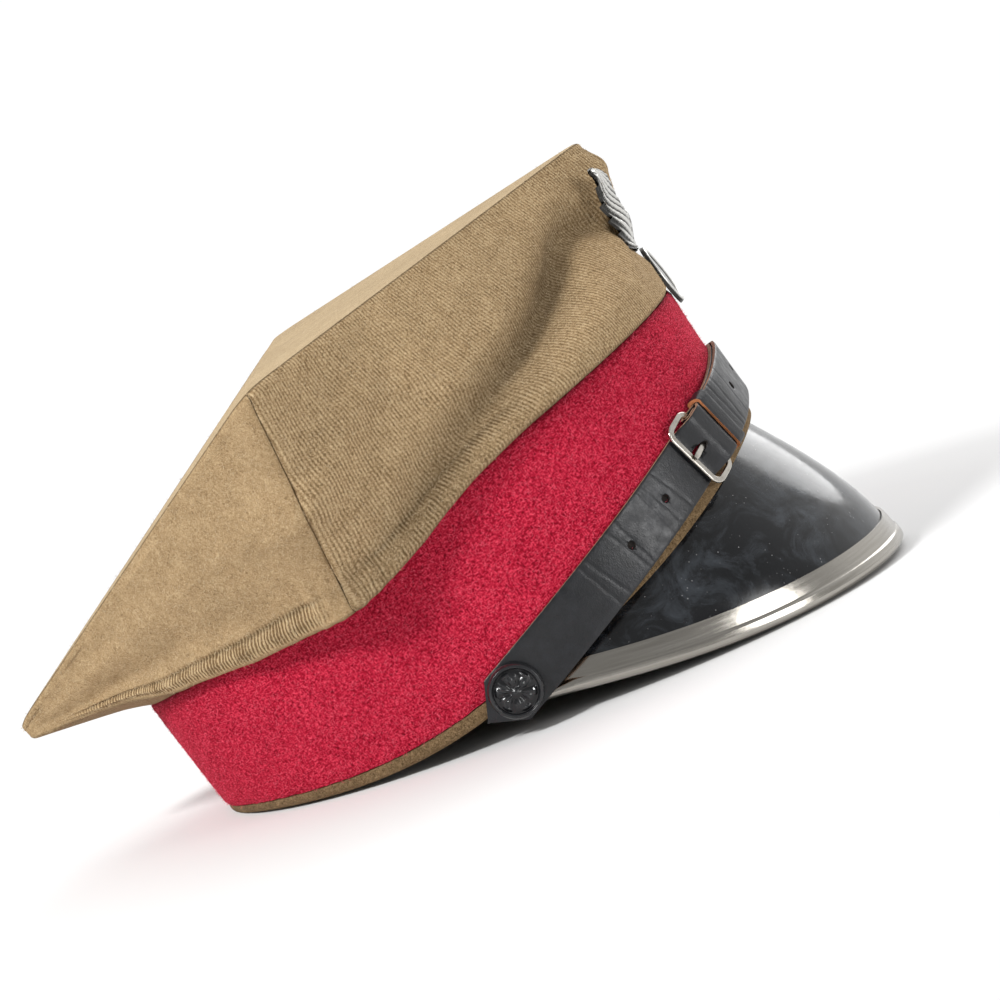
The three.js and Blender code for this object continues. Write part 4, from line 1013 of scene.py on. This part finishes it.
def strap_frame(place):
    place = np.asarray(place, float)
    at = lambda s: np.stack([np.interp(s, PATH_LENGTHS, PATH[:, k]) for k in range(3)], -1)
    point, along = at(place), at(place + 0.6) - at(place - 0.6)
    along = along / np.linalg.norm(along, axis=-1, keepdims=True)
    angle = np.arctan2(point[..., 1] / HALF_WIDTH, point[..., 0] / HALF_LENGTH)
    height = point[..., 2]
    outward = np.cross(along, band_point(angle, 0, height + 1) - band_point(angle, 0, height))
    outward = outward / np.linalg.norm(outward, axis=-1, keepdims=True)
    return point, along, outward, np.cross(outward, along)


def strap_point(place, across, out):
    place, across, out = np.broadcast_arrays(*(np.asarray(v, float) for v in (place, across, out)))
    point, _, outward, upward = strap_frame(place)
    return point + upward * across[..., None] + outward * out[..., None]


WIRE_RADIUS = WIRE / 2
BAR_PLACE = BUCKLE_END + BUCKLE_LENGTH - WIRE
KEEPER_BACK, KEEPER_FRONT = KEEPER_PLACE - KEEPER_WIDTH / 2, KEEPER_PLACE + KEEPER_WIDTH / 2
LOWER = CLEARANCE
KEEPER_LAYER = KEEPER_THICKNESS + 2 * CLEARANCE
UPPER = KEEPER_LAYER + STRAP_THICKNESS + CLEARANCE
BAR_LAYER = LOWER + SKIVED + CLEARANCE + WIRE_RADIUS
FOLD_LAYER = BAR_LAYER + WIRE_RADIUS + CLEARANCE
OVER_FOLD = FOLD_LAYER + SKIVED + CLEARANCE
FRAME_END = LOWER + STRAP_THICKNESS + CLEARANCE + WIRE_RADIUS
MEETING_START = KEEPER_FRONT + MEETING_AFTER
MEETING_END = MEETING_START + MEETING_LENGTH


def right_layer(place):
    climbed = smooth(place, BUCKLE_END + WIRE_RADIUS, BAR_PLACE - WIRE_RADIUS - CLEARANCE)
    settled = smooth(place, BAR_PLACE + FOLDED_TAIL, KEEPER_BACK)
    high = mixed(mixed(LOWER, OVER_FOLD, climbed), UPPER, settled)
    low = LOWER + STRAP_THICKNESS + CLEARANCE
    return mixed(high, low, smooth(place, MEETING_START, MEETING_END))


def left_layer(place):
    risen = mixed(LOWER, KEEPER_LAYER, smooth(place, BAR_PLACE + 1, KEEPER_BACK))
    return mixed(risen, LOWER, smooth(place, MEETING_START, MEETING_END))


def strap_half(place):
    to_tip = BUTTON_PLACE + TIP_BEYOND - np.abs(place)
    return np.clip(to_tip, TIP_WIDTH / 2, STRAP_WIDTH / 2)


ACROSS = np.concatenate([[-1, -0.985, -0.96], np.linspace(-0.9, 0.9, 13), [0.96, 0.985, 1]])
EDGE_DROP = 0.22 * np.clip((np.abs(ACROSS) - 0.9) / 0.1, 0, 1) ** 2
# Places of the cross creases, as pairs beside each hole and at bends
CREASES = (-118, -114.5, -104, -101, -88.5, -85, -79, -40, -36.5, -30, -12, -8.5, 12, 30, 34)
CREASE_DEPTH, CREASE_WIDTH, HOLE_SINK = 0.17, 0.4, 0.16
STRAP_STEP, FOLDED_STEP = 0.5, 0.6


def creased(places, across):
    """Small dents across the strap and a slow unevenness."""
    total = np.zeros((len(places), len(across)))
    for k, crease in enumerate(CREASES):
        skew = 0.1 * math.sin(5 * k) * across + 0.12 * np.sin(across * 0.9 + 2 * k)
        total -= CREASE_DEPTH * hump(places[:, None] - skew[None], crease, CREASE_WIDTH)
    return total + 0.12 * np.sin(places / 7.0)[:, None] * np.cos(across / 4.0)[None]


def strap_right():
    tip = -(BUTTON_PLACE + TIP_BEYOND)
    places = np.arange(tip, FREE_END, STRAP_STEP)
    width = strap_half(places)[:, None] * ACROSS
    low = right_layer(places)[:, None] + 0 * ACROSS
    dents = creased(places, ACROSS * STRAP_WIDTH / 2)
    for hole in HOLE_PLACES:
        away = np.hypot(places[:, None] - hole, width)
        dents -= HOLE_SINK * hump(away, 1.7, 1.0)
    outer = strap_point(places[:, None], width, low + STRAP_THICKNESS - EDGE_DROP + dents)
    inner = strap_point(places[:, None], width, low + EDGE_DROP * 0.5)
    uv = np.stack([np.broadcast_to(places[:, None], width.shape), width], -1)
    piece = shell("strap_right_leather", outer, inner, uv,
                  [leather, leather_edge, leather_inside, hole_shade], edge_slot=1, inner_slot=2)
    for hole in HOLE_PLACES:
        bore(piece, hole)
    return finished(piece, "strap_leather", "strap_right")


PRONG_HOLE = BUCKLE_END + PRONG_AHEAD
PRONG_SLOT, PRONG_SLOT_LENGTH, HOLE_FLOOR = PRONG_HOLE + 1.8, 6.4, 0.2
HOLE_PLACES = [PRONG_HOLE + n * HOLE_SPACING for n in (-2, -1, 0, 2, 3)]


def bore(piece, place):
    """Cuts one of the strap's holes; only the prong's drawn-out slot goes all the way through."""
    slot = place == PRONG_HOLE
    half_length = PRONG_SLOT_LENGTH / 2 if slot else HOLE_DIAMETER / 2
    place = PRONG_SLOT if slot else place
    point, along, outward, upward = strap_frame(np.array(place))
    centre = strap_point(place, 0.0, float(right_layer(place)))
    ring = []
    for level in (-3.0 if slot else HOLE_FLOOR, 4.0):
        for k in range(24):
            turned = 2 * math.pi * k / 24
            ring.append(
                centre + outward * level + along * half_length * math.cos(turned)
                + upward * HOLE_DIAMETER / 2 * math.sin(turned)
            )
    faces = [[k, (k + 1) % 24, 24 + (k + 1) % 24, 24 + k] for k in range(24)]
    faces += [list(range(24)), list(range(47, 23, -1))]
    # The cutter's faces give the hole its near-black painted shade.
    cutter = make_object("cutter", rested(np.array(ring)), faces, None, [0] * 26, [hole_shade])
    before = len(piece.data.vertices)
    step = piece.modifiers.new("hole", "BOOLEAN")
    step.operation, step.object, step.solver = "DIFFERENCE", cutter, "EXACT"
    mesh = bpy.data.meshes.new_from_object(
        piece.evaluated_get(bpy.context.evaluated_depsgraph_get())
    )
    piece.modifiers.clear()
    if len(mesh.vertices) > before / 2:
        piece.data = mesh
    bpy.data.objects.remove(cutter)


def strap_left():
    tip = BUTTON_PLACE + TIP_BEYOND
    bore_radius = WIRE_RADIUS + CLEARANCE
    rows, tail_rows, bend_rows = [], 8, 21
    for ahead in np.linspace(FOLDED_TAIL, 0, tail_rows):
        place = BAR_PLACE + ahead
        rows.append((place, FOLD_LAYER, place, FOLD_LAYER + SKIVED))
    for degrees in np.radians(np.linspace(90, 270, bend_rows + 1)[1:]):
        inside = (BAR_PLACE + bore_radius * math.cos(degrees),
                  BAR_LAYER + bore_radius * math.sin(degrees))
        reach = bore_radius + SKIVED
        outside = (BAR_PLACE + reach * math.cos(degrees), BAR_LAYER + reach * math.sin(degrees))
        rows.append((*inside, *outside))
    for place in np.arange(BAR_PLACE + 0.5, tip + 0.01, FOLDED_STEP):
        thick = mixed(SKIVED, STRAP_THICKNESS, float(smooth(place, BAR_PLACE, KEEPER_BACK)))
        low = float(left_layer(place))
        rows.append((place, low + thick, place, low))
    rows = np.array(rows)
    # The fold's outside goes on as the strap's underside, so the two faces change sides there
    width = strap_half(rows[:, 0])[:, None] * ACROSS
    upper = np.where(np.arange(len(rows)) < tail_rows + bend_rows, 0.0, 1.0)[:, None]
    dents = creased(rows[:, 0], ACROSS * STRAP_WIDTH / 2) * upper
    top = strap_point(rows[:, 0:1], width, rows[:, 1:2] - EDGE_DROP * upper + dents)
    bottom = strap_point(rows[:, 2:3], width, rows[:, 3:4])
    uv = np.stack([np.broadcast_to(rows[:, 0:1], width.shape), width], -1)
    piece = shell("strap_left_leather", top, bottom, uv,
                  [leather, leather_edge, leather_inside], edge_slot=1, inner_slot=2)
    for polygon in piece.data.polygons:
        if polygon.material_index == 2 and KEEPER_BACK > polygon_place(piece, polygon):
            polygon.material_index = 0
    return finished(piece, "strap_leather", "strap_left")


def polygon_place(piece, polygon):
    layer = piece.data.uv_layers["cloth"].data
    return sum(layer[k].uv[0] for k in polygon.loop_indices) / len(polygon.loop_indices)


def keeper():
    half, low = STRAP_WIDTH / 2 + CLEARANCE, KEEPER_LAYER - CLEARANCE
    high = UPPER + STRAP_THICKNESS + CLEARANCE
    corner = 0.7

    def ring(grow):
        points = []
        bounds = ((half, high, 0), (-half, high, 90), (-half, low, 180), (half, low, 270))
        for side, level, start in bounds:
            radius = corner + grow
            centre_across = side - math.copysign(corner, side)
            centre_out = level - corner if level == high else level + corner
            for degrees in np.radians(np.linspace(start, start + 90, 7)):
                points.append(
                    (centre_across + radius * math.cos(degrees),
                     centre_out + radius * math.sin(degrees))
                )
        dense = []
        for a, b in zip(points, points[1:] + points[:1]):
            steps = max(1, int(math.dist(a, b) / 1.5))
            dense += [tuple(mixed(np.array(a), np.array(b), s / steps)) for s in range(steps)]
        return np.array(dense)

    outer_ring = ring(KEEPER_THICKNESS)
    inner_ring = ring(0.0)
    count = min(len(outer_ring), len(inner_ring))
    resampled = []
    for loop in (outer_ring, inner_ring):
        closed = np.concatenate([loop, loop[:1]])
        walked = lengths(closed[:, None], 0)[:, 0]
        at = np.linspace(0, walked[-1], count, endpoint=False)
        resampled.append(np.stack([np.interp(at, walked, closed[:, k]) for k in range(2)], -1))
    places = np.linspace(KEEPER_BACK, KEEPER_FRONT, 9)
    softened = 0.2 * np.clip(np.abs(np.linspace(-1, 1, 9)) - 0.7, 0, 1) / 0.3
    middle_out = (high + low) / 2
    grids = []
    for loop, sign in zip(resampled, (-1, 0)):
        across, out = loop[:, 0:1], loop[:, 1:2]
        pulled = sign * softened
        away = np.sign(out - middle_out) * (np.abs(across) < half)
        grids.append(strap_point(places[None], across + 0 * places, out + away * pulled))
    uv = np.stack(np.broadcast_arrays(np.arange(count + 1)[:, None] * 0.9, places[None]), -1)
    piece = shell("strap_keeper_leather", grids[0], grids[1], uv, [leather, keeper_edge],
                  wrap=True, edge_slot=1)
    return finished(piece, "strap_leather", "strap_keeper")


strap_right()
strap_left()
keeper()


# Buckle


def buckle_frame():
    """A flat wire with a shallow groove, bent to a rounded rectangle."""
    half_length, half_width = (BUCKLE_LENGTH - WIRE) / 2, (BUCKLE_WIDTH - WIRE) / 2
    corner = BUCKLE_CORNER - WIRE_RADIUS
    spine = []
    corners = ((-1, 1, 180), (1, 1, 90), (1, -1, 0), (-1, -1, 270))
    for sx, sy, start in corners:
        for degrees in np.radians(np.linspace(start, start - 90, 12)):
            spine.append(
                (sx * (half_length - corner) + corner * math.cos(degrees),
                 sy * (half_width - corner) + corner * math.sin(degrees))
            )
        spine.append(spine[-1])
    spine = np.array(spine)
    closed = np.concatenate([spine, spine[:1]])
    walked = lengths(closed[:, None], 0)[:, 0]
    at = np.linspace(0, walked[-1], 160, endpoint=False)
    spine = np.stack([np.interp(at, walked, closed[:, k]) for k in range(2)], -1)
    heading = np.roll(spine, -1, 0) - np.roll(spine, 1, 0)
    heading = heading / np.linalg.norm(heading, axis=-1, keepdims=True)
    middle = (BUCKLE_END + BAR_PLACE) / 2
    slope = (spine[:, 0] + half_length) / (2 * half_length)
    lift = mixed(FRAME_END, BAR_LAYER, slope)
    section = []
    for degrees in np.radians(np.linspace(0, 360, 20, endpoint=False)):
        aside = math.copysign(abs(math.cos(degrees)) ** 0.6, math.cos(degrees)) * 1.12
        rise = math.copysign(abs(math.sin(degrees)) ** 0.6, math.sin(degrees)) * 0.68
        groove = 0.22 * math.exp(-((aside / 0.32) ** 2)) * (rise > 0)
        section.append((aside * WIRE_RADIUS, (rise - groove) * WIRE_RADIUS + 0.1))
    section = np.array(section)
    grid = strap_point(
        middle + spine[:, 0:1] + heading[:, 1:2] * section[:, 0],
        spine[:, 1:2] - heading[:, 0:1] * section[:, 0],
        lift[:, None] + section[:, 1],
    )
    faces = grid_faces(*grid.shape[:2], True, True)
    vertices = rested(grid.reshape(-1, 3))
    piece = make_object("buckle_frame_nickel", vertices, faces, None, [0] * len(faces), [nickel])
    return finished(piece, "buckle_metal", "buckle_frame")


def buckle_prong():
    """A flat tongue from its loop on the hinge bar to its tip on the end bar."""
    loop = WIRE_RADIUS + CLEARANCE + PRONG_THICKNESS / 2
    tip =(BUCKLE_END - WIRE_RADIUS / 2, FRAME_END + WIRE_RADIUS + CLEARANCE + PRONG_THICKNESS / 2)
    start = (BAR_PLACE + loop * math.cos(TONGUE_LEAVES), BAR_LAYER + loop * math.sin(TONGUE_LEAVES))
    tongue = [tuple(mixed(np.array(tip), np.array(start), s)) for s in np.linspace(0, 1, 22)]
    ring = [
        (BAR_PLACE + loop * math.cos(a), BAR_LAYER + loop * math.sin(a))
        for a in np.linspace(TONGUE_LEAVES, TONGUE_LEAVES - math.radians(300), 26)
    ]
    spine = np.array(tongue + ring[1:])
    heading = np.gradient(spine, axis=0)
    heading = heading / np.linalg.norm(heading, axis=-1, keepdims=True)
    half = PRONG_WIDTH / 2 * (1 - 0.35 * hump(np.arange(len(spine)), 0, 2.2))
    thick = PRONG_THICKNESS / 2 * (1 - 0.4 * hump(np.arange(len(spine)), 0, 1.6))
    section = [(math.cos(a), math.sin(a)) for a in np.radians(np.arange(0, 360, 24))]
    section = np.array(section)
    section = np.sign(section) * np.abs(section) ** 0.7
    grid = strap_point(
        spine[:, 0:1] - heading[:, 1:2] * section[:, 1] * thick[:, None],
        section[:, 0] * half[:, None],
        spine[:, 1:2] + heading[:, 0:1] * section[:, 1] * thick[:, None],
    )
    rows, sides = grid.shape[:2]
    faces = grid_faces(rows, sides, False, True)
    faces +=[list(range(sides)), list(range((rows - 1) * sides, rows * sides))]
    piece = make_object("buckle_prong_nickel", rested(grid.reshape(-1, 3)), faces, None,
                        [0] * len(faces), [nickel])
    return finished(piece, "buckle_metal", "buckle_prong")


buckle_frame()
buckle_prong()


# Buttons

BUTTON = {
    "radius": [0.0, 0.14, 0.22, 0.42, 0.62, 0.76, 0.8, 0.86, 0.93, 0.98, 1.0],
    "height": [0.92, 0.9, 0.84, 0.84, 0.76, 0.68, 0.7, 0.86, 0.82, 0.6, 0.3],
}


def button(name, side):
    radii = np.concatenate([np.linspace(0, 0.8, 34), np.linspace(0.8, 1.0, 22)[1:]])
    angles = np.linspace(0, 2 * math.pi, 144, endpoint=False)
    height = np.interp(radii, BUTTON["radius"], BUTTON["height"]) * BUTTON_HEIGHT
    ring = hump(radii, 0.45, 0.22) * (radii < 0.78)
    petals = np.abs(np.cos(BUTTON_PETALS / 2 * angles))[:, None] ** 0.7
    veins = 0.25 * np.abs(np.sin(BUTTON_PETALS * 2 * angles))[:, None]
    relief = (petals - veins) * ring
    buds = hump(radii, 0.66, 0.05) * np.maximum(0, np.sin(BUTTON_PETALS * angles))[:, None] * 0.8
    centre = hump(radii, 0, 0.12) * 0.9
    raised = relief + buds + centre
    rise = height[None] + 1.6 * BUTTON_RELIEF * (raised - 0.5 * (radii < 0.78))
    reach = radii * BUTTON_DIAMETER / 2
    place = side * BUTTON_PLACE
    point, along, outward, upward = strap_frame(np.array(place))
    seat = strap_point(place, 0.0, LOWER + STRAP_THICKNESS + CLEARANCE)
    x = reach[None] * np.cos(angles)[:, None]
    y = reach[None] * np.sin(angles)[:, None]
    spread = lambda h: seat + along * x[..., None] + upward * y[..., None] + outward * h[..., None]
    outer = spread(rise)
    inner = spread(0 * rise)
    uv = np.stack([np.concatenate([x, x[:1]]), np.concatenate([y, y[:1]])], -1)
    marks = {"relief": np.clip(raised + (radii > 0.8) * 0.9, 0, 1)}
    piece = shell(name + "_relief", outer, inner, uv, [blackened], wrap=True, marks=marks)
    return finished(piece, "button_black", name)


button("button_right", -1)
button("button_left", 1)


# Badge

SEAM_STEPS = 200
SEAM = crown_section(0.0, 0.0, SEAM_STEPS, 8)[:SEAM_STEPS + 1]
WING_FOOT = BAND_HEIGHT - PLATE_OVERLAP + PLATE_HEIGHT + CLEARANCE
PLATE_TURN = math.radians(7)  # to the wearer's right


def seam_front(height):
    order = np.argsort(SEAM[:, 2])
    return np.interp(height, SEAM[order, 2], SEAM[order, 0])


def wing(side):
    """A wing of plain overlapping feathers, with quills and barbs."""
    along = np.linspace(0, 1, 220)
    across = np.linspace(0, 1, 34)
    grid = np.broadcast_arrays(along[:, None], across[None])
    swept_by = 7.0 * across[None] * mixed(0.35, 1.0, along[:, None])
    feather = ((FEATHERS + 3) * along[:, None] - swept_by) % 1
    notch = 1.6 * FEATHER_NOTCH * across[None] ** 3 * (1 - feather)
    value = lambda column: table_value(WING, "along", column, along)[:, None]
    aside = mixed(value("inner_across"), value("outer_across"), across[None])
    up = mixed(value("inner_up"), value("outer_up"), across[None])
    y = aside * WING_SPAN / 2 - notch
    z = WING_FOOT + up * WING_RISE
    swept = WING_SWEEP * (2 * y / WING_SPAN) ** 2
    back = seam_front(z) + WING_STANDOFF - swept
    barbs = 0.5 + 0.5 * np.sin(feather * 7 + across[None] * 60)
    vane = np.sin(math.pi * feather**0.6) ** 0.8
    quill = hump(feather, 0.35, 0.09)
    body = np.sin(math.pi * np.clip(across * 0.97 + 0.015, 0, 1))[None] ** 0.4
    relief = np.clip(vane * body * (0.7 + 0.2 * barbs) + 0.25 * quill * body, 0, 1)
    front = back + WING_THICKNESS * 0.7 + 1.7 * WING_RELIEF * relief
    outer = np.stack([front, side * y, z], -1)
    inner = np.stack([back, side * y, z], -1)
    uv = np.stack([grid[0] * 30, grid[1] * 12], -1)
    return outer, inner, uv, relief


def badge_wings():
    parts = []
    for side, name in ((-1, "right"), (1, "left")):
        outer, inner, uv, relief = wing(side)
        parts.append(shell("badge_wing_" + name, outer, inner, uv, [silvered],
                           marks={"relief": relief}))
    rounds = np.linspace(0, 2 * math.pi, 48, endpoint=False)
    ups = np.linspace(-1, 1, 34)
    size = np.sqrt(np.maximum(0, 1 - ups**2))
    height = WING_FOOT + BOSS_HEIGHT / 2 + ups * BOSS_HEIGHT / 2
    scales = 0.5 + 0.5 * np.sin(ups * 16)[None] * np.cos(rounds * 6)[:, None]
    swell = 1 + 0.06 * scales
    depth = BOSS_DEPTH * size * (0.5 + 0.5 * swell * np.cos(rounds)[:, None])
    aside = BOSS_WIDTH / 2 * size * swell * np.sin(rounds)[:, None]
    x = seam_front(height)[None] + CLEARANCE + depth
    grid = np.stack([x, aside, np.broadcast_to(height, x.shape)], -1)
    faces = grid_faces(*grid.shape[:2], True, False)
    boss =make_object("badge_boss", rested(grid.reshape(-1, 3)), faces, None, [0] * len(faces),
                       [silvered], {"relief": scales})
    parts.append(boss)
    for part in parts:
        finished(part, "badge_metal")
    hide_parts("badge_wings")


def badge_plate():
    """An oval plate, dished inside a raised rim."""
    profile = {"radius": [0.0, 0.5, 0.72, 0.8, 0.86, 0.94, 0.98, 1.0],
               "height": [0.5, 0.4, 0.1, 0.6, 1.0, 1.0, 0.3, -0.9]}
    radii = np.concatenate([np.linspace(0, 0.7, 14), np.linspace(0.7, 1, 26)[1:]])
    angles = np.linspace(0, 2 * math.pi, 96, endpoint=False)
    height = table_value(profile, "radius", "height", radii)
    middle = BAND_HEIGHT - PLATE_OVERLAP + PLATE_HEIGHT / 2
    seat = max(HALF_LENGTH + HEM_LIP, float(seam_front(middle + PLATE_HEIGHT / 2)))
    back = seat + CLEARANCE
    y = radii[None] * PLATE_WIDTH / 2 * np.sin(angles)[:, None]
    z = middle + radii[None] * PLATE_HEIGHT / 2 * np.cos(angles)[:, None]
    spread = lambda depth: np.stack(
        [back + depth * math.cos(PLATE_TURN) + y * math.sin(PLATE_TURN),
         y * math.cos(PLATE_TURN) - depth * math.sin(PLATE_TURN), z], -1)
    outer = spread(PLATE_THICKNESS + height[None] * PLATE_RIM * 1.8 + 0 * y)
    inner = spread(0 * y)
    uv = np.stack([np.concatenate([y, y[:1]]), np.concatenate([z, z[:1]])], -1)
    marks = {"relief": np.clip(height, 0, 1)[None] * 0.8 + 0 * y}
    piece = shell("badge_plate_relief", outer, inner, uv, [silvered], wrap=True, marks=marks)
    return finished(piece, "badge_metal", "badge_plate")


badge_wings()
badge_plate()


# Camera: at the photograph's angle to the cap

CAMERA_AZIMUTH, CAMERA_ELEVATION, CAMERA_ROLL = (math.radians(v) for v in (2.5, 5.64, 38.6))
CAMERA_DISTANCE = 1200.0
CAMERA_TARGET = np.array([22.43, 0.0, 24.39])
SENSOR, LENS = 36.0, 133.9


def camera():
    a, e, r = CAMERA_AZIMUTH, CAMERA_ELEVATION, CAMERA_ROLL
    back = np.array([math.sin(a) * math.cos(e), -math.cos(a) * math.cos(e), math.sin(e)])
    right = np.array([math.cos(a), math.sin(a), 0.0])
    up = np.cross(back, right)
    image_right = math.cos(r) * right - math.sin(r) * up
    image_up = math.sin(r) * right + math.cos(r) * up
    origin = rested(CAMERA_TARGET + back * CAMERA_DISTANCE)
    zero = rested(np.zeros(3))
    columns = [(rested(axis) - zero) / METRES for axis in (image_right, image_up, back)]
    data = bpy.data.cameras.new("camera")
    data.sensor_width, data.lens = SENSOR, LENS
    data.clip_start, data.clip_end = 0.05, 50.0
    made = bpy.data.objects.new("camera", data)
    bpy.context.collection.objects.link(made)
    matrix = Matrix.Identity(4)
    for k, column in enumerate(columns):
        for row in range(3):
            matrix[row][k] = column[row]
    for row in range(3):
        matrix[row][3] = origin[row]
    made.matrix_world = matrix
    bpy.context.scene.camera = made


camera()


# Floor, world and lights

BACKDROP_LEVEL, ROOM_LEVEL = 1.02, 0.4
FLOOR_HALF, FLOOR_DROP = 30, 0.0002
GLOW_STARTS, GLOW_FULL = 0.2, 0.42


def floor():
    """Pale paper that takes the cap's shadow and glows as white as the backdrop farther off."""
    mesh = bpy.data.meshes.new("floor")
    corners = [(x * FLOOR_HALF, y * FLOOR_HALF, 0) for x, y in ((-1, -1), (1, -1), (1, 1), (-1, 1))]
    mesh.from_pydata(corners, [], [(0, 1, 2, 3)])
    made = bpy.data.objects.new("floor", mesh)
    made.location.z = -FLOOR_DROP
    bpy.context.collection.objects.link(made)
    look = Look("floor_paper", Roughness=0.9)
    look.set("Base Color", (0.78, 0.78, 0.78))
    look.set("Specular IOR Level", 0.1)
    coordinates = look.node("ShaderNodeTexCoord")
    length = look.node("ShaderNodeVectorMath", operation="LENGTH")
    look.tree.links.new(coordinates.outputs["Object"], length.inputs[0])
    away = look.range(length.outputs["Value"], GLOW_STARTS, GLOW_FULL)
    glow = look.node("ShaderNodeEmission")
    glow.inputs["Color"].default_value = (1, 1, 1, 1)
    glow.inputs["Strength"].default_value = BACKDROP_LEVEL
    both = look.node("ShaderNodeMixShader")
    output = next(n for n in look.tree.nodes if n.bl_idname == "ShaderNodeOutputMaterial")
    look.put(away, both.inputs[0])
    look.tree.links.new(look.shader.outputs[0], both.inputs[1])
    look.tree.links.new(glow.outputs[0], both.inputs[2])
    look.tree.links.new(both.outputs[0], output.inputs[0])
    mesh.materials.append(look.material)


def area_light(name, position, target, size, power):
    data = bpy.data.lights.new(name, "AREA")
    data.shape, data.size, data.energy = "DISK", size, power
    made = bpy.data.objects.new(name, data)
    bpy.context.collection.objects.link(made)
    made.location = position
    direction = Vector(target) - Vector(position)
    made.rotation_euler = direction.to_track_quat("-Z", "Y").to_euler()


def studio_world():
    """White behind the cap, dimmer on the side that the camera stands on."""
    world = bpy.data.worlds.new("studio")
    bpy.context.scene.world = world
    world.use_nodes = True
    tree = world.node_tree
    background = next(n for n in tree.nodes if n.bl_idname == "ShaderNodeBackground")
    background.inputs["Color"].default_value = (1, 1, 1, 1)
    coordinates = tree.nodes.new("ShaderNodeTexCoord")
    split = tree.nodes.new("ShaderNodeSeparateXYZ")
    level = tree.nodes.new("ShaderNodeMapRange")
    level.interpolation_type = "SMOOTHSTEP"
    for key, number in zip(("From Min", "From Max", "To Min", "To Max"),
                           (-0.5, 0.5, ROOM_LEVEL, BACKDROP_LEVEL)):
        level.inputs[key].default_value = number
    tree.links.new(coordinates.outputs["Generated"], split.inputs[0])
    tree.links.new(split.outputs["Y"], level.inputs["Value"])
    tree.links.new(level.outputs[0], background.inputs["Strength"])


floor()
studio_world()
area_light("key", (-0.95, -1.0, 1.2), (0, 0, 0.07), 0.4, 28.0)
area_light("front", (1.2, -0.85, 0.28), (0.05, 0, 0.06), 0.6, 6.0)
area_light("crest", (0.8, 1.0, 0.8), (0.08, 0, 0.05), 1.1, 10.0)
bpy.context.scene.view_settings.view_transform = "Standard"
